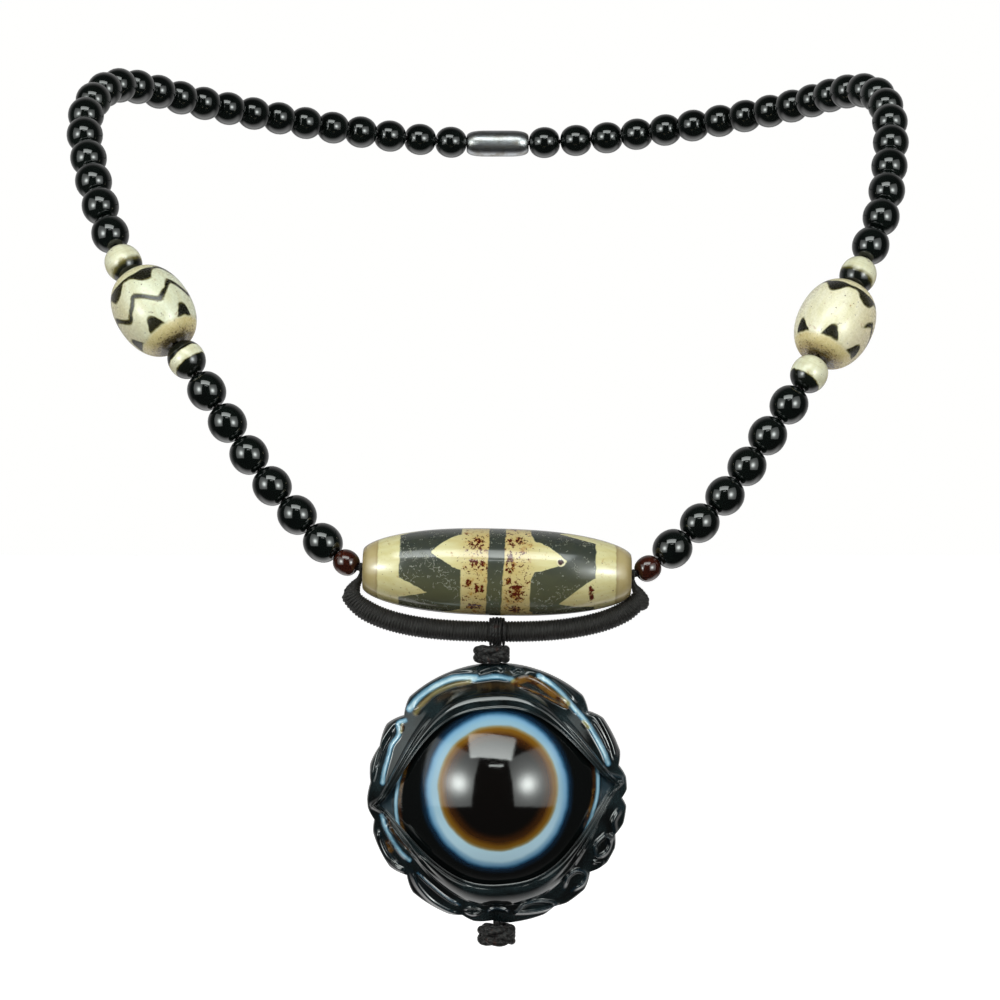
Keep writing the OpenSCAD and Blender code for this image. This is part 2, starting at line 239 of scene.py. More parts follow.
class Recipe(Sheet):
    """The sheet of nodes of one finish, with its Principled shader."""

    def __init__(self, name: str, stored: str = "", **constants: Union[float, Colour]) -> None:
        """Starts a finish.

        Args:
            name: the finish's name.
            stored: the attribute with the place that its clouds follow, or else the object's.
            constants: plain values for the shader's sockets, with _ for a space.
        """
        self.material = bpy.data.materials.new(name)
        self.material.use_nodes = True
        super().__init__(self.material.node_tree)
        self.shader = self.tree.nodes["Principled BSDF"]
        self.spot = self.attribute(stored) if stored else self.place()
        for socket, value in constants.items():
            self.plug(self.shader.inputs[socket.replace("_", " ")], value)

    def moved(self, vector: Signal, offset: Triple, scale: Triple) -> Signal:
        """Scales a vector and then moves it."""
        inputs = {"Vector": vector, "Location": offset, "Scale": scale}
        return self.signal("ShaderNodeMapping", {}, inputs)

    def cloud(self, scale: float, detail: float = 3, roughness: float = 0.5,
              offset: Optional[Triple] = None, stretch: Triple = (1, 1, 1),
              over: Optional[Signal] = None) -> Signal:
        """Noise over the finish's own place, or over another vector.

        Args:
            scale: how fine it is.
            detail: how many finer layers it has.
            roughness: how strong the finer layers are.
            offset: a move of the place, so that clouds differ, or None.
            stretch: the scale of the place's parts, used with an offset.
            over: the other vector, or None.

        Returns:
            A number from 0 to 1.
        """
        vector = over or self.spot
        if offset:
            vector = self.moved(vector, offset, stretch)
        inputs = {"Vector": vector, "Scale": scale, "Detail": detail, "Roughness": roughness}
        return self.signal("ShaderNodeTexNoise", {}, inputs)

    def bead(self, offset: Triple, scale: float, detail: float = 3) -> tuple[Signal, ...]:
        """Reads a bead's own frame.

        Args:
            offset: the offset of the wobble's clouds.
            scale: how fine they are.
            detail: how many finer layers they have.

        Returns:
            The three parts of the point in the bead's frame, in mm, and a wobble about 0.
        """
        return *self.parts(self.spot), self.cloud(scale, detail, offset=offset) - 0.5

    def dress(self, shade: Signal, roughness: Signal, height: Signal, distance: float,
              strength: float) -> bpy.types.Material:
        """Feeds the shader.

        Args:
            shade: the base colour.
            roughness: the roughness.
            height: what raises the surface, by a Bump node.
            distance: how far it raises it, in metres.
            strength: how strongly the light shows it.

        Returns:
            The finished material.
        """
        inputs = {"Height": height, "Distance": distance, "Strength": strength}
        feeds = {"Base Color": shade, "Roughness": roughness,
                 "Normal": self.signal("ShaderNodeBump", {}, inputs)}
        for socket, value in feeds.items():
            self.plug(self.shader.inputs[socket], value)
        return self.material


@dataclass(frozen=True)
class StoneGloss:
    """A polished stone of one colour, darker and lighter in soft clouds, with a fine polish."""

    name: str
    deep: str
    pale: str
    roughness: float = 0.07
    coat: float = 0.6

    def make(self) -> bpy.types.Material:
        """Builds the material.

        Returns:
            The material.
        """
        recipe = Recipe(self.name, "bead_mm", Coat_Weight=self.coat, Coat_Roughness=0.03, IOR=1.54)
        soft, fine = recipe.cloud(0.22), recipe.cloud(2.5, 4)
        shade = recipe.mix(self.deep, (soft.step(0.35, 0.75) * 0.8 + fine * 0.2, self.pale))
        rough = self.roughness + fine.step(0.45, 0.8) * 0.05
        return recipe.dress(shade, rough, recipe.cloud(1.1) + fine * 0.3, 0.00002, 0.25)


@dataclass(frozen=True)
class AgedAgate:
    """The colours of the etched agates, shared by the long, zigzag and banded beads."""

    cream: str = "#dcd4a2"
    cream_low: str = "#cdbe80"
    # the colour that the cream turns towards the bottom of each bead
    lower_tone: str = "#b58a45"
    rust: str = "#521709"
    dark: str = "#2b3233"
    dark_low: str = "#57563f"
    tip: str = "#c2b083"

    def cream_coat(self, recipe: Recipe, stained: Value, tan: Value = 0.0) -> Signal:
        """Mottled cream with yellow-brown clouds and rust-red specks, browner towards the bottom.

        Args:
            recipe: the finish that takes the colour.
            stained: how much of the surface is stained, from 0 to 1.
            tan: how far the cream turns tan, from 0 to 1.

        Returns:
            The colour signal.
        """
        # The cream turns browner towards the bottom of the bead.
        low = recipe.parts(recipe.spot)[2].step(1.0, -7.0) * 0.35
        streaks = recipe.cloud(0.7, 4, offset=(3, 1, 7), stretch=(0.35, 1.6, 1.6))
        clouds = recipe.cloud(0.9, 5, 0.65) + stained * 0.15
        specks = recipe.cloud(2.1, 4, 0.7, (11, 4, 2))
        red = (specks + stained * 0.17 + clouds.step(0.56, 0.7) * 0.04).step(0.64, 0.68)
        return recipe.mix(self.cream, (streaks.step(0.3, 0.75) * 0.7, self.cream_low),
                          (low, self.lower_tone), (tan, "#b8944a"),
                          (clouds.step(0.58, 0.76) * 0.85, "#a86f22"), (red, self.rust))

    def dark_coat(self, recipe: Recipe) -> Signal:
        """Deep grey-green that turns olive below.

        Args:
            recipe: the finish that takes the colour.

        Returns:
            The colour signal.
        """
        low = recipe.parts(recipe.spot)[2].step(3.5, -5.0) * 0.8
        factor = (low + recipe.cloud(0.5, 4) * 0.5).least(1.0)
        return recipe.mix(self.dark, (factor, self.dark_low))

    def etched(self, recipe: Recipe, cream: Signal, dark: Signal) -> Signal:
        """Lays an etched line over the cream, olive-brown where it fades out."""
        return recipe.mix(cream, (dark.step(0.0, 0.6), "#6f6638"),
                          (dark.step(0.35, 0.95), self.dark_coat(recipe)))

    def pits(self, recipe: Recipe, scale: float, share: float) -> Signal:
        """Small crescent-shaped pits, 1 on their pale edges.

        Args:
            recipe: the finish that takes the colour.
            scale: how fine they are.
            share: how many there are, from 0 to 1.

        Returns:
            A number from 0 to 1.
        """
        bends = recipe.cloud(scale, 2, 0.6) - 0.5
        bits = recipe.cloud(scale * 0.9, 2, 0.7, (9, 6, 3))
        where = recipe.cloud(scale * 0.25, 2, offset=(2, 7, 9)) * 0.6
        least = 1.02 - share * 0.2
        return bends.size().step(0.03, 0.008) * (bits + where).step(least, least + 0.04)


@dataclass(frozen=True)
class Tooth:
    """A tooth of an etched line: its tip's angle, its reach in mm, its spread and its shape."""

    tip: float
    reach: float
    above: float
    below: float
    slope: float = 1.0
    blunt: float = 0.25

    def height(self, recipe: Recipe, angle: Signal, turn: float) -> Signal:
        """How far the tooth stands out at an angle, in mm, repeated every turn.

        Args:
            recipe: the finish that takes the colour.
            angle: the angle round the bead, in degrees.
            turn: how far apart the teeth are, in degrees.

        Returns:
            The reach, in mm.
        """
        off = (angle - self.tip).wrapped(turn)
        upper, lower = 1.0 - off / self.above, 1.0 + off / self.below
        tent = recipe.maths("SMOOTH_MIN", upper, lower, self.blunt)
        return tent.most(0.0) ** self.slope * self.reach


@dataclass(frozen=True)
class LongBeadFinish(AgedAgate):
    """The long bead: dark zones with cream teeth, a dark stripe, and clear brown tips."""

    edges: tuple[float, ...] = (-18.2, -14.9, -5.5, -1.45, 0.95, 5.1, 15.0, 18.1)
    soft: float = 0.11
    turn: float = 120.0
    left_outer: Tooth = Tooth(-31, 4.4, 21, 15, 1.0, 0.15)
    left_inner: Tooth = Tooth(28, 4.7, 31, 24, 0.72, 0.3)
    right_inner: Tooth = Tooth(18, 5.7, 30, 16, 0.62, 0.45)
    right_base: Tooth = Tooth(20, 1.6, 42, 28, 1.0, 0.2)
    right_outer: Tooth = Tooth(-47, 5.6, 42, 14, 0.85, 0.2)
    inclusion: Pair = (9.7, 17.0)
    inclusion_half: Pair = (0.5, 4.5)
    stained: tuple[tuple[float, float, float, float], ...] = (
        (-3.2, 40, 1.4, 15), (-3.0, 13, 1.5, 8), (-4.3, -14, 0.5, 8), (-2.6, -22, 1.0, 8),
        (1.9, 14, 0.9, 20), (3.0, -24, 1.5, 16), (1.9, 45, 0.9, 10), (3.4, 48, 0.9, 10),
        (1.8, -10, 0.5, 8), (-3.5, -52, 1.4, 9), (2.9, -56, 1.2, 9), (14.4, -30, 0.55, 20),
        (2.6, 100, 1.4, 30), (-3.0, 170, 1.5, 30), (3.0, 235, 1.2, 30))

    def make(self) -> bpy.types.Material:
        """Builds the material.

        Returns:
            The material.
        """
        recipe = Recipe("long_bead_agate", "bead_mm", Coat_Weight=0.8, Coat_Roughness=0.05,
                        IOR=1.56)
        along, front, up, wobble = recipe.bead((5, 5, 5), 0.9)
        s = along + wobble * 0.45
        angle = recipe.maths("ARCTAN2", up, front) * DEGREES + wobble * 5.0
        teeth = (self.left_outer, self.left_inner, self.right_inner, self.right_base,
                 self.right_outer)
        left_out, left_in, right_in, right_base, right_out = (
            tooth.height(recipe, angle, self.turn) for tooth in teeth)
        slant = up * 0.045
        tip_left, *edges, tip_right = self.edges
        starts = (s - left_out, s - slant * 0.6, s - right_in.most(right_base))
        ends = (s + left_in, s - slant, s + right_out)
        zones = [(start - a).step(-self.soft, self.soft) * (end - b).step(self.soft, -self.soft)
                 for start, end, a, b in zip(starts, ends, edges[::2], edges[1::2])]
        dark = (zones[0] + zones[1] + zones[2]).least(1.0)
        tips = s.step(tip_left + 0.1, tip_left - 0.15) + s.step(tip_right - 0.1, tip_right + 0.15)
        stains = s.size().step(6.0, 4.6) * 0.4
        for at, low, wide, tall in self.stained:
            stains = stains.most(squares((s - at) / wide, (angle - low) / tall).step(1.3, 0.2))
        cream = self.cream_coat(recipe, stains, s.size().step(8.5, 2.5) * 0.5)
        clear = recipe.mix(self.tip, (recipe.cloud(0.5, 4), "#a8935f"),
                           (s.size().step(19.4, 20.8) * 0.6, "#75613c"),
                           (s.size().step(18.7, 18.2) * 0.5, "#8f7a4e"))
        (at, low), (wide, tall) = self.inclusion, self.inclusion_half
        speck = squares((s - at) / wide, (angle - low) / tall) + wobble * 3.0
        pits = self.pits(recipe, 1.15, 0.9) * dark
        shade = recipe.mix(cream, (dark, self.dark_coat(recipe)), (tips.least(1.0), clear),
                           (speck.step(2.2, 1.5), "#e6ddb6"), (speck.step(1.2, 0.6), "#3c1410"),
                           (pits * 0.5, "#a5a591"))
        rough = 0.13 + recipe.cloud(3.0, 4) * 0.1 + pits * 0.3
        height = recipe.cloud(1.2, 4, 0.6) * 0.5 - pits * 0.8 - dark * 0.12
        return recipe.dress(shade, rough, height, 0.00012, 0.35)


@dataclass(frozen=True)
class ZigzagFinish(AgedAgate):
    """A zigzag bead: cream with dark end triangles and a thin zigzag line round the middle."""

    label: str = "zigzag_agate"
    cream: str = "#e3e4cb"
    cream_low: str = "#d3cda4"
    dark: str = "#14150f"
    dark_low: str = "#2a2613"
    peak: float = -8.0
    line_reach: float = 1.25
    line_at: float = 0.2
    line_half: float = 0.46
    soft: float = 0.42
    top_at: float = -4.4
    top_reach: float = 1.8
    low_at: float = 5.15
    low_reach: float = 2.1
    fades: Pair = (-46.0, -36.0)
    faded: float = 0.0
    browned: float = 0.4
    turn: float = 60.0

    def make(self) -> bpy.types.Material:
        """Builds the material.

        Returns:
            The material.
        """
        recipe = Recipe(self.label, "bead_mm", Coat_Weight=0.3, Coat_Roughness=0.1, IOR=1.54)
        along, front, up, wobble = recipe.bead((2, 9, 5), 0.7, 1.5)
        s, soft = wobble * 0.6 - along, self.soft
        angle = recipe.maths("ARCTAN2", up, front) * DEGREES + wobble * 7.0
        off = (angle - self.peak).wrapped(self.turn).size() / (self.turn / 2)
        off = off * 0.5 + off.step(0.0, 1.0) * 0.5
        line_at = off * (2 * self.line_reach) - (self.line_reach - self.line_at)
        line = (s - line_at).size().step(self.line_half + soft, self.line_half - soft)
        line = line * (1.0 - angle.step(*self.fades) * self.faded)
        top_edge = off.step(0.1, 1.0) * self.top_reach + self.top_at
        low_edge = self.low_at - off.step(0.7, 0.0) * self.low_reach
        top = s.step(-5.2, -4.7) * (s - top_edge).step(soft, -soft)
        low = s.step(5.25, 4.7) * (s - low_edge).step(-soft, soft)
        dark = (line + top + low).least(1.0)
        caps = (s.step(4.7, 5.5) + s.step(-4.8, -5.4) * 0.55).least(1.0)
        grit = recipe.cloud(2.6, 4, 0.65, (1, 8, 3)) + s.step(5.6, 7.0) * 0.17
        cream = recipe.mix(self.cream_coat(recipe, 0.0), (caps * 0.8, "#d6c284"),
                           (s.step(5.6, 6.9) * self.browned, "#85652e"),
                           (grit.step(0.6, 0.76) * caps * 0.8, "#57401a"),
                           # Darkest at the very lower end: a painted shadow where the bead meets
                           # the banded bead.
                           (s.step(6.6, 6.95) * 0.7, "#2a2010"))
        pits = self.pits(recipe, 2.4, 0.5)
        rough = 0.2 + recipe.cloud(3.0, 4) * 0.14 + pits * 0.2
        height = recipe.cloud(1.2, 4, 0.6) * 0.5 - pits * 0.6 - dark * 0.12
        return recipe.dress(self.etched(recipe, cream, dark), rough, height, 0.0001, 0.3)


@dataclass(frozen=True)
class BandedFinish(AgedAgate):
    """A small banded bead: cream with dark ends that begin at given distances along it."""

    label: str = "banded_agate"
    cream: str = "#eae9d0"
    cream_low: str = "#d8d1a6"
    cream_from: float = -9.0
    cream_to: float = 0.8
    slant: float = 0.1
    blur: float = 0.25
    dark: str = "#0b0f0c"
    dark_low: str = "#10140f"

    def make(self) -> bpy.types.Material:
        """Builds the material.

        Returns:
            The material.
        """
        recipe = Recipe(self.label, "bead_mm", Coat_Weight=0.4, Coat_Roughness=0.05, IOR=1.54)
        along, front, up, wobble = recipe.bead((4, 2, 8), 0.6)
        s = wobble * 0.8 - along + (up + front) * self.slant
        dark = (s.step(self.cream_from + self.blur, self.cream_from - self.blur)
                + s.step(self.cream_to - self.blur, self.cream_to + self.blur)).least(1.0)
        bands = recipe.cloud(1.2, 2, offset=(0, 0, 0), stretch=(1.2, 0.2, 0.2))
        cream = recipe.mix(self.cream_coat(recipe, dark * 0.3),
                           (bands.step(0.35, 0.8) * 0.5, "#b9ac7c"))
        fine = recipe.cloud(2.6, 4)
        return recipe.dress(self.etched(recipe, cream, dark), 0.12 + fine * 0.08, fine,
                            0.00005, 0.2)


@dataclass(frozen=True)
class CordFinish:
    """Dark waxed cord: fine twisted fibres that follow a strand, with a dull sheen and painted
    highlights on the raised fibres.
    """

    label: str
    deep: str
    glint: str
    twist: float
    fleck: Optional[str] = None

    def make(self) -> bpy.types.Material:
        """Builds the material. It reads strand_mm: along the strand, round it, and a shift.

        Returns:
            The material.
        """
        recipe = Recipe(self.label, "strand_mm", Sheen_Weight=0.08, Sheen_Roughness=0.4, IOR=1.45)
        along, around, shift = recipe.parts(recipe.spot)
        turned = (along * self.twist + around * 2.0) * FULL_TURN
        threads = recipe.joined(along * 1.3 + shift * 9.0, around * 9.0, shift)
        fibre = recipe.cloud(2.0, 4, 0.7, over=threads)
        height = (recipe.maths("SINE", turned) * 0.5 + 0.5) * 0.6 + fibre * 0.4
        # The raised fibres take the glint colour: a painted highlight.
        shade = recipe.mix(self.deep, (height.step(0.3, 0.9), self.glint))
        if self.fleck:
            spots = recipe.cloud(900.0, 3, 0.6, over=recipe.place()).step(0.58, 0.68)
            shade = recipe.mix(shade, (spots * 0.5, self.fleck))
        return recipe.dress(shade, 0.42 + fibre * 0.25, height, 0.00012, 0.8)


@dataclass(frozen=True)
class PendantFinish:
    """The eye agate: near-black with a pale blue ring, an amber edge, and pale carved lines."""

    middle: Triple = (0.0, 0.0, 0.0)
    outer: Pair = (10.75, 11.6)
    inner: Pair = (9.1, 9.4)
    outer_middle: Pair = (0.0, 1.1)
    inner_middle: Pair = (0.15, 1.65)
    corners_from: Pair = (12.6, 13.8)

    def make(self) -> bpy.types.Material:
        """Builds the material. It reads carve_tone: pale, amber and front, each from 0 to 1.

        Returns:
            The material.
        """
        recipe = Recipe("eye_agate_carved", Coat_Weight=0.7, Coat_Roughness=0.03, IOR=1.54)
        shift = tuple(-c / MM for c in self.middle)
        recipe.spot = recipe.moved(recipe.spot, shift, (1 / MM, 1 / MM, 1 / MM))
        across, _, up = recipe.parts(recipe.spot)
        pale, amber, front = recipe.parts(recipe.attribute("carve_tone"))
        pale = pale * (0.78 + recipe.cloud(0.35, offset=(3, 3, 3)).step(0.35, 0.62) * 0.22)
        wobble = (recipe.cloud(0.3) - 0.5) * 0.045

        def reach(axes: Pair, middle: Pair) -> Signal:
            """Distance from a middle, 1 on the ellipse with these half axes."""
            flat = squares((across - middle[0]) / axes[0], (up - middle[1]) / axes[1])
            return recipe.maths("SQRT", flat) + wobble

        outer, inner = reach(self.outer, self.outer_middle), reach(self.inner, self.inner_middle)
        leaning = up + across.step(-2.0, 2.0) * -3.5 + 1.2
        corner = recipe.maths("SQRT", squares(across, leaning)) + wobble * 6
        beside = across.size().step(*self.corners_from) * front
        pale = pale.most(corner.step(14.9, 15.4) * corner.step(15.9, 15.5) * beside * 0.75)
        amber = amber.most(corner.step(14.3, 14.8) * corner.step(15.3, 14.9) * beside * 0.6)
        earth = recipe.mix("#3a1d0b", (recipe.cloud(0.7, 4).step(0.4, 0.62), "#6e4c1c"),
                           (pale.step(0.0, 0.4), "#8c8455"))
        pale_blue = recipe.mix("#bddbea", (up.step(-8.0, 3.0), "#8fb2c6"))
        blue = recipe.mix("#4a7fa8", (outer.step(1.01, 0.94), "#80aac8"),
                          (outer.step(0.96, 0.89), pale_blue))
        brown = recipe.mix("#8f855c", (inner.step(1.0, 0.94), "#7b5416"),
                           (inner.step(0.95, 0.84), "#4a2808"))
        clouds = recipe.cloud(0.16, 4, 0.6).step(0.35, 0.75)
        stone = recipe.mix("#070909", (clouds, "#222e31"), (front, "#060808"),
                           (corner.step(15.3, 16.4) * beside, "#26363f"),
                           (pale.step(0.0, 0.6) * 0.9, "#294f66"),
                           (pale.step(0.25, 0.75), "#7ba7bf"), (pale.step(0.6, 0.98), "#bfd8e2"),
                           (amber.step(0.1, 0.85), earth),
                           (outer.step(1.1, 1.0) * front * 0.7, "#143450"),
                           (outer.step(1.03, 0.965) * front, blue),
                           (inner.step(1.025, 0.98) * front, brown),
                           (inner.step(0.93, 0.7) * front, "#070504"))
        rough = 0.06 + recipe.cloud(2.0, 4) * 0.05
        return recipe.dress(stone, rough, recipe.cloud(0.8), 0.00004, 0.3)


@dataclass(frozen=True)
class MetalFinish:
    """Plain plated metal with fine turning lines."""

    def make(self) -> bpy.types.Material:
        """Builds the material.

        Returns:
            The material.
        """
        recipe = Recipe("clasp_metal", "bead_mm", Metallic=1.0)
        lines = recipe.cloud(2.0, offset=(0, 0, 0), stretch=(9, 0, 0))
        tarnish = recipe.cloud(0.6, 4)
        shade = recipe.mix("#b9bcbf", (tarnish.step(0.4, 0.8), "#8c8880"))
        return recipe.dress(shade, 0.2 + lines * 0.15 + tarnish * 0.1, lines, 0.00003, 0.4)


def smooth_line(points: Sequence[Sequence[float]], steps: int) -> np.ndarray:
    """Rounds a line of points with smooth curves between them.

    Args:
        points: the points that the line passes through.
        steps: how many pieces each stretch is cut into.

    Returns:
        The finer line, one point a row.
    """
    p = np.array(points, float)
    p = np.vstack([2 * p[0] - p[1], p, 2 * p[-1] - p[-2]])
    t = np.linspace(0, 1, steps, endpoint=False)[:, None]
    runs = [0.5 * (2 * b + (c - a) * t + (2 * a - 5 * b + 4 * c - d) * t ** 2
                   + (3 * b - a - 3 * c + d) * t ** 3)
            for a, b, c, d in zip(p, p[1:], p[2:], p[3:])]
    return np.vstack([*runs, p[-2:-1]])


def eased(share: np.ndarray) -> np.ndarray:
    """A share from 0 to 1 that starts and ends softly."""
    return share * share * (3 - 2 * share)


def round_end(reach: float) -> float:
    """Half the width of a round end, 1 up to its middle and 0 from a reach of 1 on."""
    return math.sqrt(max(0.0, 1 - max(0.0, reach) ** 2))


def off_axis(x: float, away: float, angle: float) -> Vector:
    """A point in metres at an angle round the X axis, from sizes in mm."""
    return Vector((x, math.sin(angle) * away, math.cos(angle) * away)) * MM


def add_object(name: str, data: bpy.types.ID) -> bpy.types.Object:
    """Adds an object to the scene.

    Args:
        name: its name.
        data: its mesh, camera or light.

    Returns:
        The new object.
    """
    made = bpy.data.objects.new(name, data)
    bpy.context.scene.collection.objects.link(made)
    return made


def add_mesh(name: str, bm: bmesh.types.BMesh, material: bpy.types.Material) -> bpy.types.Object:
    """Turns a bmesh into an object of one finish, and frees it.

    Args:
        name: its name.
        bm: its mesh, in metres.
        material: its finish.

    Returns:
        The new object.
    """
    mesh = bpy.data.meshes.new(name)
    bm.to_mesh(mesh)
    bm.free()
    mesh.materials.append(material)
    return add_object(name, mesh)


def finish_piece(name: str, bm: bmesh.types.BMesh, material: bpy.types.Material, body: Body,
                 node: str) -> None:
    """Turns a bmesh into a smooth piece that stands for a CAD node and rides on its body.

    Args:
        name: the piece's name.
        bm: its mesh in place, in metres; it is freed.
        material: its finish.
        body: the body that it rides on.
        node: the CAD node that it replaces.
    """
    bmesh.ops.recalc_face_normals(bm, faces=bm.faces)
    piece = add_mesh(name, bm, material)
    piece.data.shade_smooth()
    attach(piece, body.value)
    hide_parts(node)
    LOG.info("%s: %d faces, rides on %s", name, len(piece.data.polygons), body.value)


@cache
def box_middle(node: str) -> Vector:
    """Middle of a CAD node's box, in metres."""
    low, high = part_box(node)
    return (low + high) / 2


def bead_frame(middle: Vector, axis: Vector) -> Matrix:
    """The matrix from a bead's own millimetres to its place, its front turned to the viewer.

    Args:
        middle: the bead's middle, in metres.
        axis: the way that its hole runs.

    Returns:
        The matrix.
    """
    x = axis.normalized()
    facing = Vector((0, -1, 0)) if abs(x.y) < 0.9 else Vector((0, 0, 1))
    y = (facing - x * facing.dot(x)).normalized()
    z = x.cross(y)
    if z.z < 0:
        z = -z
    turn = Matrix((x, y, z)).transposed().to_4x4()
    return Matrix.Translation(middle) @ turn @ Matrix.Scale(MM, 4)


def spin(bm: bmesh.types.BMesh, line: Sequence[Pair], closed: bool, axis: Triple, sides: int,
         weld: float) -> None:
    """Spins a line of points in the XY plane into a skin.

    Args:
        bm: the empty bmesh that takes it.
        line: the points, in order.
        closed: whether the last point is joined to the first.
        axis: the axis of the spin, through the origin.
        sides: how many steps the spin takes.
        weld: points closer than this are made one.
    """
    points = [bm.verts.new((x, y, 0)) for x, y in line]
    pairs = zip(points, points[1:] + points[:1] if closed else points[1:])
    edges = [bm.edges.new(pair) for pair in pairs]
    bmesh.ops.spin(bm, geom=points + edges, cent=(0, 0, 0), axis=axis, dvec=(0, 0, 0),
                   angle=2 * math.pi, steps=sides, use_merge=True, use_duplicate=False)
    bmesh.ops.remove_doubles(bm, verts=bm.verts, dist=weld)


@dataclass
class Bead:
    """A drilled bead, made of a spun outline in its own frame."""

    half_length: float
    radius: float
    end_radius: float
    fullness: float = 2.0
    shoulder: float = 0.5
    steps: int = 18
    sides: int = 32
    lip: float = 0.12

    def outline(self) -> list[Pair]:
        """The bead's closed section: its outside, its softened ends and its bore.

        Returns:
            Points along the hole and out from it, in mm.
        """
        shares = [-math.cos(math.pi * i / self.steps) for i in range(self.steps + 1)]
        swell = self.radius - self.end_radius
        outside = [(a * self.half_length,
                    self.end_radius + swell * (1 - abs(a) ** self.fullness) ** self.shoulder)
                   for a in shares]
        end, lip = self.half_length, self.lip
        if self.end_radius > BORE_R + 3 * lip:
            outside[0] = (-end, self.end_radius)
            outside = [(-end, BORE_R + lip)] + outside + [(end, BORE_R + lip)]
        return outside + [(end - lip, BORE_R), (-end + lip, BORE_R)]

    def build(self, places: Sequence[Matrix]) -> bmesh.types.BMesh:
        """Makes one or more such beads.

        Args:
            places: the matrix of each bead, from its own millimetres to metres.

        Returns:
            A bmesh with bead_mm, each point's place in its own bead.
        """
        bm = bmesh.new()
        spin(bm, self.outline(), True, (1, 0, 0), self.sides, 1e-5)
        bmesh.ops.recalc_face_normals(bm, faces=bm.faces)
        layer = bm.verts.layers.float_vector.new("bead_mm")
        template = [*bm.verts, *bm.edges, *bm.faces]
        spare = list(bm.verts)
        for place in places:
            made = bmesh.ops.duplicate(bm, geom=template)["geom"]
            points = [g for g in made if isinstance(g, bmesh.types.BMVert)]
            for point in points:
                point[layer] = point.co
            bmesh.ops.transform(bm, matrix=place, verts=points)
        bmesh.ops.delete(bm, geom=spare, context="VERTS")
        return bm


def round_bead(diameter: float, steps: int = 18, sides: int = 32) -> Bead:
    """A round drilled bead, which ends where its bore begins."""
    reach = math.sqrt(diameter ** 2 / 4 - BORE_R ** 2)
    return Bead(reach, diameter / 2, BORE_R + 0.02, steps=steps, sides=sides)


@dataclass(frozen=True)
class LongBead:
    """The long bead, which the string and the bar both follow."""

    length: float = 41.2
    diameter: float = 13.4
    end_d: float = 6.0
    slope: float = math.radians(1.4)

    def place(self) -> Matrix:
        """The matrix of the bead's own frame."""
        aim = Vector((math.cos(self.slope), 0, -math.sin(self.slope)))
        return bead_frame(box_middle("dzi_bead"), aim)

    def end(self, side: Side) -> Vector:
        """The middle of its end at one side, in metres.

        Args:
            side: the side of the necklace.

        Returns:
            The point, in metres.
        """
        low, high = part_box("dzi_bead")
        fall = side.value * self.length / 2 * MM * math.sin(self.slope)
        x = high.x if side is Side.RIGHT else low.x
        return Vector((x, (low.y + high.y) / 2, (low.z + high.z) / 2 - fall))

    def build(self, material: bpy.types.Material) -> None:
        """Builds and dresses it.

        Args:
            material: its finish.
        """
        shape = Bead(self.length / 2, self.diameter / 2, self.end_d / 2, 2.4, 0.62, 96, 96)
        finish_piece("long_bead_etched", shape.build([self.place()]), material, Body.STRING,
                     "dzi_bead")


Route = Callable[[float], Vector]


@dataclass
class Strand:
    """A round strand along a route, made of a grid that is rolled up along it."""

    route: Route
    radius: Callable[[float], float]
    steps: int
    sides: int = 10
    closed: bool = False
    shift: float = 0.0
    bulge: Optional[Callable[[float, float], float]] = None

    def add_to(self, bm: bmesh.types.BMesh) -> None:
        """Adds the strand to a bmesh, with strand_mm on its points.

        Args:
            bm: the bmesh, in metres.
        """
        layer = (bm.verts.layers.float_vector.get("strand_mm")
                 or bm.verts.layers.float_vector.new("strand_mm"))
        line = [self.route(i / self.steps) for i in range(self.steps + 1)]
        before = [line[-2] if self.closed else 2 * line[0] - line[1]] + line[:-1]
        after = line[1:] + [line[1] if self.closed else 2 * line[-1] - line[-2]]
        aims = [(b - a).normalized() for a, b in zip(before, after)]
        up = aims[0].orthogonal().normalized()
        ups = []
        for i, aim in enumerate(aims):
            if i:
                up = aims[i - 1].rotation_difference(aim) @ up
            up = (up - aim * up.dot(aim)).normalized()
            ups.append(up)
        twist = ups[0].angle(ups[-1]) if self.closed else 0.0
        if ups[-1].cross(ups[0]).dot(aims[0]) < 0:
            twist = -twist
        runs = [0.0]
        for a, b in zip(line, line[1:]):
            runs.append(runs[-1] + (b - a).length / MM)
        grid = bmesh.ops.create_grid(bm, x_segments=self.steps, y_segments=self.sides,
                                     size=1)["verts"]
        for point in grid:
            u, v = (point.co.x + 1) / 2, (point.co.y + 1) / 2
            i = min(round(u * self.steps), self.steps)
            angle = 2 * math.pi * v + twist * u
            r = self.radius(u) * (1 + (self.bulge(u, angle) if self.bulge else 0.0))
            side = ups[i].cross(aims[i])
            point.co = line[i] + (ups[i] * math.cos(angle) + side * math.sin(angle)) * r * MM
            point[layer] = Vector((runs[i], v, self.shift))
        bmesh.ops.remove_doubles(bm, verts=grid, dist=2e-6)


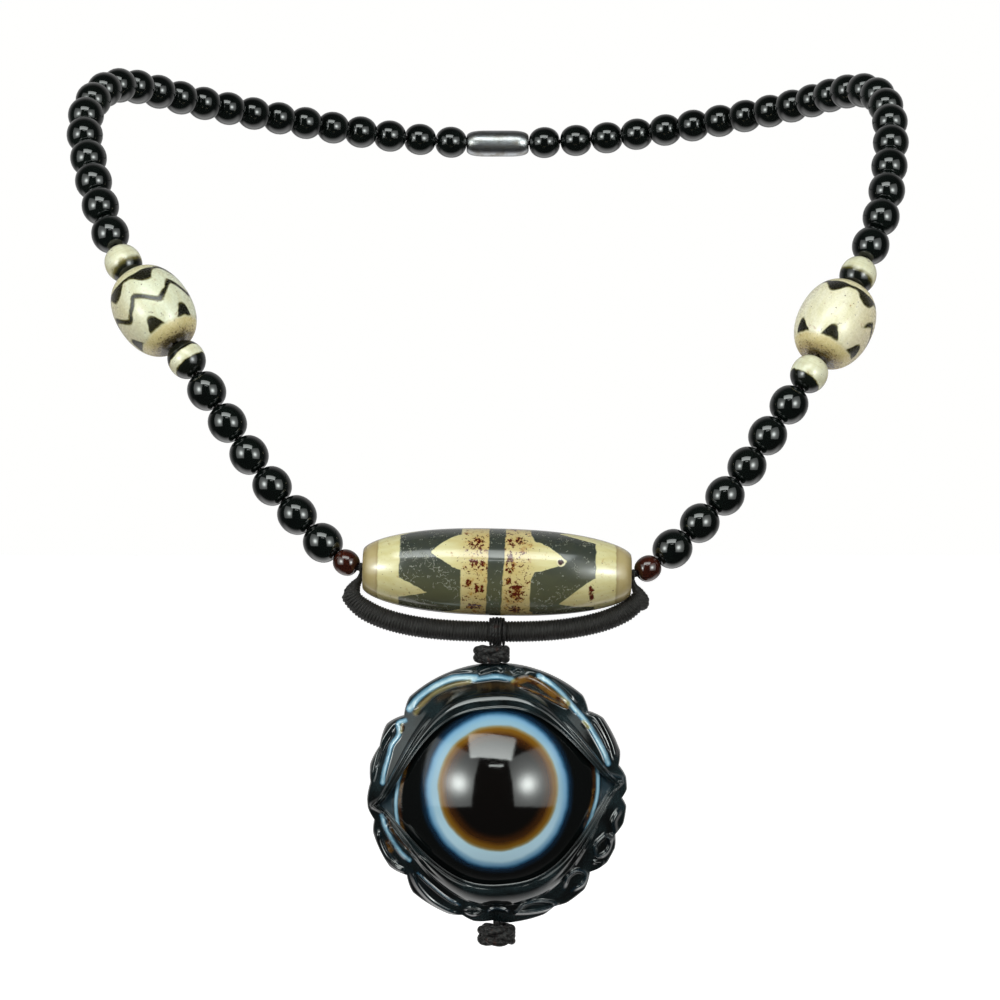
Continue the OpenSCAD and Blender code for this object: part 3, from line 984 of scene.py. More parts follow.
@dataclass
class NeckString:
    """The loop of beads: what each side carries, from the garnet bead up to the nape."""

    black_d: float = 6.0
    banded_d: float = 5.9
    garnet_d: float = 4.0
    lower_count: int = 6
    zigzag_d: float = 12.2
    zigzag_end_d: float = 5.2
    zigzag_len: dict = field(default_factory=lambda: {Side.LEFT: 13.8, Side.RIGHT: 13.6})
    thread_d: float = 0.8
    clasp_half: float = 3.5
    bead_half: float = 1.2
    through: tuple[float, ...] = (-20.4, -18, -12, 0, 12, 18, 20.4)
    long_bead: LongBead = LongBead()

    def loose_beads(self, node: str) -> list[Vector]:
        """Finds the middles of a node's loose beads.

        Args:
            node: the CAD node's name.

        Returns:
            The middles in order along the string, from the lowest, in metres.
        """
        bm = bmesh.new()
        bm.from_mesh(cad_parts[node].data)
        bmesh.ops.remove_doubles(bm, verts=bm.verts, dist=1e-6)
        left = set(bm.verts)
        middles = []
        while left:
            island, edge = set(), [left.pop()]
            while edge:
                point = edge.pop()
                island.add(point)
                near = [e.other_vert(point) for e in point.link_edges]
                edge += [p for p in near if p in left]
                left.difference_update(near)
            corners = np.array([p.co for p in island])
            middles.append(Vector((corners.min(0) + corners.max(0)) / 2))
        bm.free()
        ordered = [min(middles, key=lambda m: m.z + m.y)]
        middles.remove(ordered[0])
        while middles:
            ordered.append(min(middles, key=lambda m: (m - ordered[-1]).length))
            middles.remove(ordered[-1])
        return ordered

    def places(self, side: Side) -> tuple[list[str], list[Matrix]]:
        """Names and places of a side's beads, from the garnet bead up.

        Args:
            side: the side of the necklace.

        Returns:
            The node's name of each bead, and each bead's matrix, X pointing up the string.
        """
        word = side.name.lower()
        names = [f"garnet_bead_{word}"]
        names += [f"black_bead_{word}_{i + 1}" for i in range(self.lower_count)]
        names += [f"{part}_{word}"
                  for part in ("banded_bead_lower", "zigzag_bead", "banded_bead_upper")]
        neck = self.loose_beads(f"neck_beads_{word}")
        middles = [box_middle(name) for name in names] + neck
        names += [f"neck_beads_{word}"] * len(neck)
        line = [self.long_bead.end(side)] + middles + [2 * middles[-1] - middles[-2]]
        frames = [bead_frame(middle, after - before)
                  for before, middle, after in zip(line, middles, line[2:])]
        return names, frames

    def build_side(self, side: Side, finishes: dict) -> None:
        """Builds and dresses every bead of a side.

        Args:
            side: the side of the necklace.
            finishes: the materials by slot, or by node where each bead has its own.
        """
        names, frames = self.places(side)
        black = round_bead(self.black_d)
        zigzag = Bead(self.zigzag_len[side] / 2, self.zigzag_d / 2, self.zigzag_end_d / 2,
                      2.2, 0.62, 40, 72)
        kinds = {"garnet": (round_bead(self.garnet_d), "garnet"), "black": (black, "black_agate"),
                 "banded": (round_bead(self.banded_d, 20, 40), "banded_agate"),
                 "zigzag": (zigzag, "zigzag_agate"), "neck": (black, "black_agate")}
        for name in dict.fromkeys(names):
            shape, slot = kinds[name.split("_")[0]]
            bm = shape.build([place for other, place in zip(names, frames) if other == name])
            look = finishes.get(name) or finishes[slot]
            finish_piece(f"{name}_polished", bm, look, Body.STRING, name)

    def build_thread(self, material: bpy.types.Material) -> None:
        """Builds and dresses the thread, through the middles of all the beads to the clasp.

        Args:
            material: its finish.
        """
        clasp = box_middle("clasp")
        first, last = (clasp + Vector((side.value * self.clasp_half * MM, 0, 0)) for side in Side)
        left, right = ([place @ Vector((step * self.bead_half, 0, 0))
                        for place in self.places(side)[1] for step in (-1, 1)] for side in Side)
        through = [self.long_bead.place() @ Vector((x, 0, 0)) for x in self.through]
        line = [first, *reversed(left), *through, *right, last]
        route = [Vector(p) for p in smooth_line(line, 6)]
        count = len(route) - 1
        bm = bmesh.new()
        Strand(lambda u: route[round(u * count)], lambda u: self.thread_d / 2, count).add_to(bm)
        finish_piece("stringing_thread_twisted", bm, material, Body.STRING, "thread")

    def build_clasp(self, material: bpy.types.Material) -> None:
        """Builds and dresses the plain barrel clasp.

        Args:
            material: its finish.
        """
        shape = Bead(6.0, 2.5, 1.35, 5.0, steps=40, sides=48)
        bm = shape.build([bead_frame(box_middle("clasp"), Vector((1, 0, 0)))])
        finish_piece("clasp_barrel", bm, material, Body.STRING, "clasp")


@dataclass
class WrappedBar:
    """The bar under the long bead: a curved core that is wound with thread, tied at both ends."""

    long_bead: LongBead = LongBead()
    diameter: float = 3.3
    gap: float = 0.8
    overhang: float = 2.8
    fullness: float = 2.6
    end_angle: float = 14.0
    wind_pitch: float = 0.48
    wind_depth: float = 0.12
    lean: float = 0.017
    right_short: float = 0.4
    end_share: float = 0.84
    end_taper: float = 4.0
    end_round: float = 0.7
    samples: int = 2000
    steps: int = 1100
    sides: int = 24
    eye_at: float = 0.345
    eye_r: float = 0.745
    eye_thick: float = 0.225
    stem_line: tuple[Pair, ...] = (
        (20.95, -0.75), (21.2, -1.7), (21.8, -2.7), (22.2, -3.9), (22.0, -5.4))

    def axis_place(self) -> Matrix:
        """The matrix of the long bead's turned frame, in metres."""
        turn = Matrix.Rotation(self.long_bead.slope, 4, "Y")
        return Matrix.Translation(box_middle("dzi_bead")) @ turn

    def line(self, share: float) -> Vector:
        """A point of the bar's middle line, from its left end to its right end.

        Args:
            share: how far along it, from 0 to 1.

        Returns:
            The point, in metres.
        """
        sweep = (180 - 2 * self.end_angle) * (1 - math.cos(math.pi * share)) / 2
        angle = math.radians(180 - self.end_angle - sweep)
        half = self.long_bead.length / 2 + self.overhang
        fall = self.long_bead.diameter / 2 + self.gap + self.diameter / 2
        if angle < math.pi / 2:
            half -= self.right_short
        power = 2 / self.fullness
        x = math.copysign(half * abs(math.cos(angle)) ** power, math.cos(angle))
        z = self.lean * x - fall * math.sin(angle) ** power
        return self.axis_place() @ Vector((x * MM, 0, z * MM))

    def proud(self, phase: float) -> float:
        """How far a turn of thread stands proud, as a share of the radius."""
        return self.wind_depth * (abs(math.cos(phase)) - 1)

    def build(self, material: bpy.types.Material) -> None:
        """Builds the wound bar with a tie at each end, and dresses it.

        Args:
            material: its finish.
        """
        line = [self.line(i / self.samples) for i in range(self.samples + 1)]
        runs = np.cumsum([0.0] + [(b - a).length / MM for a, b in zip(line, line[1:])])
        shares = np.linspace(0, 1, self.samples + 1)
        length = runs[-1]

        def even(u: float) -> Vector:
            """A point at an even share of the bar's length."""
            return self.line(float(np.interp(u * length, runs, shares)))

        def thick(u: float) -> float:
            """Radius at a share of the length, rounded off at the ends.

            Args:
                u: how far along it, from 0 to 1.

            Returns:
                The radius, in mm.
            """
            edge = min(u, 1 - u) * length
            full = self.end_share + (1 - self.end_share) * min(1.0, edge / self.end_taper)
            return self.diameter / 2 * full * round_end(1 - edge / self.end_round)

        def winding(u: float, angle: float) -> float:
            """The winding's height at a point of the bar."""
            return self.proud(math.pi * u * length / self.wind_pitch - angle / 2)

        bm = bmesh.new()
        Strand(even, thick, self.steps, self.sides, bulge=winding).add_to(bm)
        for end in (-1, 1):
            self.add_tie(bm, end)
        finish_piece("bar_wound", bm, material, Body.BAR, "wrapped_bar")

    def add_tie(self, bm: bmesh.types.BMesh, end: int) -> None:
        """Adds the tie at an end: an eye round the thread and a short stem to the bar.

        Args:
            bm: the bar's bmesh.
            end: -1 for the left end, 1 for the right one.
        """
        place = self.axis_place()
        across = end * (self.long_bead.length / 2 + self.eye_at)
        curve = smooth_line(self.stem_line, 24)

        def eye(u: float) -> Vector:
            """A point of the eye's ring."""
            return place @ off_axis(across, self.eye_r, 2 * math.pi * u)

        def stem(u: float) -> Vector:
            """A point of the stem, from the eye down into the bar's end."""
            x, z = curve[round(u * (len(curve) - 1))]
            return place @ (Vector((end * x, 0, z)) * MM)

        def thick(u: float) -> float:
            """Radius of the stem."""
            return (0.3 + 1.05 * min(1.0, u / 0.7) ** 1.4) * round_end((u - 0.8) / 0.2)

        def winding(u: float, angle: float) -> float:
            """The winding's height at a point of the stem."""
            return 0.6 * self.proud(u * 36 - angle / 2)

        Strand(eye, lambda u: self.eye_thick, 28, 8, closed=True, shift=2.0).add_to(bm)
        Strand(stem, thick, len(curve) - 1, 20, shift=3.0, bulge=winding).add_to(bm)


@dataclass
class Braid:
    """A knot of one strand that runs round four times, over and under itself, round a core."""

    middle: Vector
    height: float
    ring: float
    rise: float
    strand: float
    depth: float
    core: float = 1.6
    bights: int = 5
    leads: int = 4

    def point(self, u: float) -> Vector:
        """A point of the knot's strand.

        Args:
            u: how far along it, from 0 to 1.

        Returns:
            The point, in metres.
        """
        turn = 2 * math.pi * self.leads * u
        phase = self.bights * turn / self.leads
        r = self.ring + self.depth * math.sin(2 * phase)
        return self.middle + Vector((r * math.cos(turn), r * math.sin(turn),
                                     self.rise * math.sin(phase))) * MM

    def add_to(self, bm: bmesh.types.BMesh) -> None:
        """Adds the knot to a bmesh, with a core that closes the gaps between its strands.

        Args:
            bm: the bmesh, in metres.
        """
        Strand(self.point, lambda u: self.strand, 360, 12, closed=True, shift=self.ring).add_to(bm)
        top, foot = (self.middle + Vector((0, 0, k * self.height * 0.4 * MM)) for k in (1, -1))
        Strand(lambda u: top.lerp(foot, u), lambda u: self.core * round_end(abs(2 * u - 1) ** 3),
               24, 24, shift=5.0).add_to(bm)


@dataclass
class HangingCord:
    """The knot that hangs on the bar, the cord through the pendant, and the knot under it."""

    bar_d: float = 3.3
    bar_fall: float = 9.15
    knot_h: float = 2.8
    knot_left: float = 0.75
    turns: tuple[int, ...] = (-2, -1, 0, 1, 2)
    turn_pitch: float = 0.5
    turn_r: float = 0.29
    turn_away: float = 0.34
    end_h: float = 3.4
    cord_d: float = 1.2

    def add_turn(self, bm: bmesh.types.BMesh, bar: Vector, turn: int) -> None:
        """Adds a turn of cord over the bar, counted from the middle one.

        Args:
            bm: the knot's bmesh.
            bar: the bar's middle, in metres.
            turn: its count from the middle one.
        """
        away = self.bar_d / 2 + self.turn_away - 0.015 * turn * turn
        thick = self.turn_r - 0.035 * abs(turn)

        def over(u: float) -> Vector:
            """A point of the turn.

            Args:
                u: how far along it, from 0 to 1.

            Returns:
                The point, in metres.
            """
            a = 2 * math.pi * u
            across = turn * (self.turn_pitch - 0.07 * math.cos(a)) + 0.15 * math.sin(a + turn)
            return bar + off_axis(across, away, a)

        Strand(over, lambda u: thick, 48, closed=True, shift=turn).add_to(bm)

    def build(self, knot: bpy.types.Material, cord: bpy.types.Material) -> None:
        """Builds the knots and the cord between them.

        Args:
            knot: the knots' finish.
            cord: the cord's finish.
        """
        axis = box_middle("dzi_bead")
        bm = bmesh.new()
        for turn in self.turns:
            self.add_turn(bm, axis - Vector((0, 0, self.bar_fall * MM)), turn)
        foot_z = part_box("hanging_knot")[0].z
        middle = Vector((axis.x - self.knot_left * MM, axis.y, foot_z + self.knot_h / 2 * MM))
        Braid(middle, self.knot_h, 2.0, 0.78, 0.6, 0.35).add_to(bm)
        finish_piece("hanging_knot_braided", bm, knot, Body.DROP, "hanging_knot")
        bm = bmesh.new()
        Braid(box_middle("end_knot"), self.end_h, 2.15, 0.95, 0.62, 0.3).add_to(bm)
        finish_piece("end_knot_braided", bm, knot, Body.DROP, "end_knot")
        foot, top = (Vector((axis.x, axis.y, end.z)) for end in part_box("pendant_cord"))
        bm = bmesh.new()
        Strand(lambda u: top.lerp(foot, u), lambda u: self.cord_d / 2 * min(1, 60 * min(u, 1 - u)),
               120, 16).add_to(bm)
        finish_piece("pendant_cord_twisted", bm, cord, Body.DROP, "pendant_cord")


@dataclass(frozen=True)
class Carving:
    """A carved line on the pendant's face, in mm from its middle: its points and its section."""

    points: tuple[Pair, ...]
    width: float
    height: float
    pale: float = 0.0
    amber: float = 0.0


# Carved lines of the pendant: points, width, height, pale tone and amber tone
CARVINGS: tuple[Carving, ...] = (
    # Hollow above the ridge, tinted olive-brown as a painted dim sheen, and the line that closes it
    Carving(((-9.3, 14.5), (-6.6, 15.9), (-3.1, 16.7), (0.0, 16.8), (3.7, 16.5),
             (7.0, 15.1)), 1.2, 0.0, 0, 0.3),
    Carving(((-4.0, 17.6), (-1.9, 17.9), (0.0, 18.1), (2.3, 17.7)), 0.65, 0.35, 0.8),
    # Upper left leaf, from its edge inwards
    Carving(((-13.9, 13.7), (-12.2, 15.8), (-9.9, 17.4), (-6.6, 18.8), (-3.1, 19.2)), 0.7, 0.35),
    Carving(((-13.4, 13.1), (-11.9, 14.9), (-9.6, 16.5), (-7.2, 17.6), (-5.4, 17.9),
             (-3.2, 17.9)), 0.8, 0.5, 1),
    Carving(((-12.5, 12.5), (-11.3, 14.0), (-9.3, 15.7), (-6.6, 16.8),
             (-4.2, 17.3)), 0.75, -0.35, 0.25, 0.75),
    # Upper right leaf, from its edge inwards
    Carving(((4.0, 19.1), (7.6, 18.2), (10.2, 16.5), (12.5, 14.2)), 0.7, 0.4),
    Carving(((6.4, 18.2), (8.5, 16.8), (10.2, 15.2), (11.7, 13.4), (12.6, 12.4)), 0.62, 0.4, 0.95),
    Carving(((2.6, 17.2), (4.6, 17.7), (6.4, 17.0), (8.5, 15.5), (10.7, 14.0)), 0.85, -0.3, 0, 1),
    Carving(((3.1, 16.8), (6.1, 15.7), (9.1, 14.2), (10.8, 13.3)), 0.3, 0.4, 0, 0.8),
    # Ridges from the upper right leaf down to the right corner
    Carving(((12.8, 12.2), (14.1, 10.6), (15.3, 8.6), (16.4, 6.5), (17.0, 4.8)), 0.65, 0.3, 0.85),
    Carving(((13.2, 11.2), (13.9, 10.4)), 0.6, -0.1, 0, 0.8),
    # Dark leaves outside, right then left
    Carving(((13.4, 13.0), (15.3, 12.2), (16.8, 9.8), (17.9, 7.2), (18.3, 5.0)), 0.7, 0.5),
    Carving(((14.4, 11.5), (16.0, 9.0), (17.2, 6.3)), 0.32, -0.45, 0.1),
    Carving(((-15.0, 11.7), (-16.4, 10.2), (-17.9, 7.8), (-18.8, 4.9), (-19.4, 1.7)), 0.7, 0.5),
    Carving(((-15.9, 9.6), (-17.3, 7.1), (-18.4, 4.0)), 0.32, -0.45, 0.1),
    Carving(((-14.0, 11.4), (-15.1, 10.9), (-15.0, 9.3), (-16.1, 7.7), (-16.6, 5.9), (-17.2, 3.7),
             (-17.5, 1.9)), 0.6, 0.3, 0.85),
    Carving(((-14.5, 10.7), (-14.6, 9.7)), 0.5, -0.1, 0, 0.75),
    # Left corner, then right corner
    Carving(((-19.6, -1.8), (-18.2, -0.9), (-16.8, 0.0)), 0.55, 0.5),
    Carving(((-19.6, -1.7), (-18.2, -2.2), (-16.8, -2.8)), 0.55, 0.45),
    Carving(((19.5, 2.4), (18.2, 2.8), (16.8, 3.3)), 0.55, 0.5, 0.15),
    Carving(((19.5, 2.2), (18.2, 1.1), (16.8, 0.0)), 0.55, 0.5),
    # Lower left ridge with its pale outline and brown edge
    Carving(((-16.8, -4.4), (-15.3, -5.7), (-13.2, -7.7), (-10.9, -9.9)), 0.75, 0.55),
    Carving(((-17.6, -3.1), (-17.1, -4.9), (-15.9, -7.0), (-14.6, -8.8),
             (-13.4, -9.8)), 0.6, 0.3, 0.8),
    Carving(((-16.6, -3.4), (-16.1, -4.9), (-14.9, -6.7), (-13.1, -8.5)), 0.3, -0.35, 0, 0.7),
    # Leaves and curls along the lower right rim
    Carving(((19.1, -2.0), (17.9, -4.0), (18.0, -5.9), (16.8, -7.3)), 0.75, 0.6, 0.1),
    Carving(((16.5, -6.1), (15.0, -7.6), (15.3, -9.4), (16.8, -8.8), (17.4, -7.0),
             (16.5, -6.1)), 0.48, 0.6, 0.12),
    Carving(((10.2, -14.4), (10.8, -12.4), (12.3, -11.4), (13.6, -12.1), (13.2, -13.6),
             (11.5, -14.7)), 0.5, 0.65, 0.18),
    Carving(((14.4, -10.2), (16.2, -10.5), (14.2, -12.9)), 0.5, 0.4),
    Carving(((2.9, -18.0), (4.6, -16.5), (7.0, -16.2), (9.1, -16.8), (7.0, -17.7), (4.6, -18.0),
             (2.9, -18.0)), 0.46, 0.6, 0.15),
    # Leaves along the bottom and the lower left rim
    Carving(((-1.3, -17.7), (0.0, -17.3), (1.7, -17.7)), 0.5, 0.4, 0.2),
    Carving(((-5.1, -17.7), (-3.9, -17.2), (-2.4, -17.8), (-3.7, -18.4),
             (-5.0, -17.9)), 0.3, 0.38, 0, 0.2),
    Carving(((-13.1, -11.4), (-12.2, -13.8), (-10.2, -16.2), (-7.8, -17.7),
             (-5.4, -18.6)), 0.6, 0.5, 0.1),
    Carving(((-12.1, -11.8), (-10.2, -13.6), (-7.8, -15.6), (-5.7, -16.8)), 0.4, 0.4, 0.4),
    Carving(((-18.4, -5.2), (-18.2, -7.3), (-17.1, -9.7), (-15.5, -11.2),
             (-13.8, -11.8)), 0.75, 0.6),
    Carving(((-16.7, -7.3), (-16.3, -8.5)), 0.8, -0.25, 0, 0.7),
    Carving(((-17.9, -5.8), (-16.8, -8.8), (-15.1, -10.5)), 0.3, -0.3, 0.15),
    # Arch over the cord's upper mouth, and the curled tip next to it
    Carving(((-3.1, 18.7), (-1.6, 19.3), (0.0, 19.6), (1.2, 19.0)), 0.7, 0.6, 0.05),
    Carving(((2.3, 18.7), (3.0, 19.3), (4.0, 19.1)), 0.5, 0.5, 0.1),
)


@dataclass
class EyePendant:
    """The carved eye agate: a domed eyeball between two lids, with leaves round the rim."""

    diameter: float = 39.6
    front_h: float = 10.3
    rim_t: float = 3.2
    back_h: float = 7.0
    eyeball_r: float = 14.5
    open_h: float = 26.6
    open_w: float = 36.6
    slope: float = 5.0
    lid_w: float = 4.1
    relief: float = 0.6
    rim_ahead: float = 0.95
    lens_power: float = 1.6
    back_power: float = 2.2
    crowding: float = 1.5
    carved_from: float = 14.6
    flanks: Pair = (7.5, 13.0)
    rings: tuple[int, int, int, int, int] = (30, 52, 34, 6, 14)
    sides: int = 720
    notches: tuple[Triple, ...] = (
        (13, 0.02, 6), (42, 0.028, 7), (140, 0.034, 8), (158, 0.014, 9), (175, 0.012, 8),
        (192, 0.018, 6), (222, 0.034, 8), (254, 0.014, 6), (268, 0.012, 8), (297, 0.014, 6),
        (320, 0.034, 8), (341, 0.02, 6), (358, 0.02, 4))
    upper_fold: tuple[Pair, ...] = (
        (0, 0), (0.04, 0.15), (0.08, 0.2), (0.13, 0.2), (0.22, 0.42), (0.32, 0.64), (0.4, 0.73),
        (0.47, 0.77), (0.53, 0.73), (0.64, 0.38), (0.8, 0.16), (1, 0.0))
    flank_fold: tuple[Pair, ...] = (
        (0, 0), (0.05, 0.13), (0.11, 0.17), (0.17, 0.03), (0.3, 0.36), (0.41, 0.48), (0.5, 0.3),
        (0.57, 0.12), (0.68, 0.36), (0.78, 0.44), (0.87, 0.22), (1, 0.0))
    lower_fold: tuple[Pair, ...] = (
        (0, 0), (0.03, 0.11), (0.07, 0.15), (0.11, 0.14), (0.19, 0.46), (0.27, 0.72), (0.36, 0.79),
        (0.5, 0.7), (0.65, 0.5), (0.78, 0.2), (0.86, -0.1), (0.93, -0.04), (1, 0.0))
    carvings: tuple[Carving, ...] = CARVINGS

    def middle(self) -> Vector:
        """The pendant's middle, on its cord, in metres."""
        box = box_middle("eye_pendant")
        return Vector((box.x, box_middle("pendant_cord").y, box.z))

    def rim_reach(self, angle: np.ndarray) -> np.ndarray:
        """Distance from the middle to the rim at angles in degrees.

        Args:
            angle: the angles.

        Returns:
            The distance at each angle, in mm.
        """
        depth = np.zeros_like(angle)
        for at, share, half in self.notches:
            off = np.abs((angle - at + 540) % 360 - 180)
            depth = np.maximum(depth, share * np.maximum(0, 1 - off / half) ** 1.3)
        return self.diameter * (0.5 - depth)

    def eye_reach(self, angle: np.ndarray, half_w: float, half_h: float) -> np.ndarray:
        """Distance from the middle to an eye-shaped line at angles in degrees.

        Args:
            angle: the angles.
            half_w: half the line's width, in mm.
            half_h: half its height in the middle, in mm.

        Returns:
            The distance at each angle, in mm.
        """
        a = np.radians(angle - self.slope)
        low, high = np.zeros_like(a), np.full_like(a, self.diameter)
        for _ in range(24):
            r = (low + high) / 2
            share = np.minimum(1, np.abs(r * np.cos(a)) / half_w)
            outside = np.abs(r * np.sin(a)) > half_h * (1 - share ** 2.6) ** 1.5
            high, low = np.where(outside, r, high), np.where(outside, low, r)
        return low

    def folds(self, share: np.ndarray, x: np.ndarray, z: np.ndarray) -> np.ndarray:
        """Height of the lids' folds, in mm.

        Args:
            share: how far across the lid each point is, from the eyeball outwards.
            x: the points' places across, in mm.
            z: the points' places upwards, in mm.

        Returns:
            The height of each point above the lens.
        """
        upper, flank, lower = (np.interp(share, *smooth_line(fold, 10).T) for fold in
                               (self.upper_fold, self.flank_fold, self.lower_fold))
        side = eased(np.interp(np.abs(x), self.flanks, (0, 1)))
        middle = np.where(z > x * math.tan(math.radians(self.slope)), upper, lower)
        return middle * (1 - side) + flank * side

    def carve(self, x: np.ndarray, z: np.ndarray) -> tuple[np.ndarray, np.ndarray, np.ndarray]:
        """Works out what the carved lines do at points of the face.

        Args:
            x: the points' places across, in mm.
            z: the points' places upwards, in mm.

        Returns:
            The height added at each point, and its pale and amber tones.
        """
        height, pale, amber = np.zeros((3, *x.shape))
        for cut in self.carvings:
            line = smooth_line(cut.points, 6)
            near, along = np.full_like(x, 99.0), np.zeros_like(x)
            for i, ((ax, az), (bx, bz)) in enumerate(zip(line, line[1:])):
                dx, dz = bx - ax, bz - az
                t = np.clip(((x - ax) * dx + (z - az) * dz) / (dx * dx + dz * dz + 1e-9), 0, 1)
                away = np.hypot(x - ax - t * dx, z - az - t * dz)
                along = np.where(away < near, i + t, along)
                near = np.minimum(near, away)
            taper = np.clip(np.minimum(along, len(line) - 1 - along) / len(line) * 7, 0, 1)
            end = 1 if cut.points[0] == cut.points[-1] else eased(taper)
            share, tone = (eased(np.clip(1 - near / (cut.width * w), 0, 1)) for w in (1, 1.15))
            height += cut.height * share * end
            pale = np.maximum(pale, cut.pale * tone)
            amber = np.maximum(amber, cut.amber * tone)
        return height, pale, amber

    def build(self, material: bpy.types.Material) -> None:
        """Builds the pendant: a spun disc of rings whose points are then carved.

        Args:
            material: its finish.
        """
        _, lid_n, leaf_n, rim_n, back_n = self.rings
        total = sum(self.rings)
        bm = bmesh.new()
        spin(bm, [(i, 0) for i in range(total + 1)], False, (0, 1, 0), self.sides, 1e-4)
        flat = np.array([point.co for point in bm.verts])
        ring = np.hypot(flat[:, 0], flat[:, 2])
        angle = np.degrees(np.arctan2(flat[:, 2], flat[:, 0]))
        rim = self.rim_reach(angle)
        eye = np.minimum(self.eye_reach(angle, self.open_w / 2, self.open_h / 2), rim - 0.8)
        lid = np.minimum(rim - 0.5, np.maximum(eye + 0.2, self.eye_reach(
            angle, self.diameter / 2 - 0.4, self.open_h / 2 + self.lid_w)))
        eye_end, lid_end, leaf_end, rim_end = np.cumsum(self.rings[:4])
        reach = (1 - (1 - np.minimum(1, ring / eye_end)) ** self.crowding) * eye
        reach = np.where(ring > eye_end, eye + (ring - eye_end) / lid_n * (lid - eye), reach)
        reach = np.where(ring > lid_end, lid + (ring - lid_end) / leaf_n * (rim - lid), reach)
        over = np.clip((ring - leaf_end) / rim_n, 0, 1)
        back = np.clip((total - ring) / back_n, 0, 1)
        reach = np.where(ring > leaf_end, rim + 0.25 * np.sin(np.pi * over), reach)
        reach = np.where(ring > rim_end, rim * np.sin(back * math.pi / 2), reach)
        rad = np.radians(angle)
        x, z = reach * np.cos(rad), reach * np.sin(rad)
        lens, rim_lens = (self.front_h * (r / (self.diameter / 2)) ** self.lens_power
                          for r in (reach, rim))
        ball = np.minimum(reach ** 2 / (2 * self.eyeball_r), lens + 1.5 * self.relief)
        added, pale, amber = self.carve(x, z)
        outside = np.clip((reach - self.carved_from) / 0.8, 0, 1)
        added = np.where(ring <= eye_end, added * outside, added)
        lid_share = np.clip((ring - eye_end) / lid_n, 0, 1)
        fading = np.clip(1 - np.maximum(0, ring - lid_end) / 6, 0, 1)
        profile = self.folds(lid_share, x, z) * fading
        front = self.front_h - np.where(ring <= eye_end, ball, lens - profile)
        front = np.where(ring <= leaf_end, front + added, front)
        edge = np.interp(ring, [leaf_end, rim_end], [0, 1])
        rim_front = (self.front_h - rim_lens + added) * (1 - edge) - self.rim_t * edge
        front = np.where(ring > leaf_end, rim_front, front)
        dome = -self.rim_t - self.back_h * (1 - np.minimum(1, reach / rim) ** self.back_power)
        front = np.where(ring > rim_end, dome, front)
        middle = self.middle()
        layer = bm.verts.layers.float_vector.new("carve_tone")
        on_front = (ring <= eye_end).astype(float)
        for i, point in enumerate(bm.verts):
            point.co = middle + Vector((x[i], -self.rim_ahead - front[i], z[i])) * MM
            point[layer] = Vector((pale[i], amber[i], on_front[i]))
        finish_piece("eye_pendant_carved", bm, material, Body.DROP, "eye_pendant")


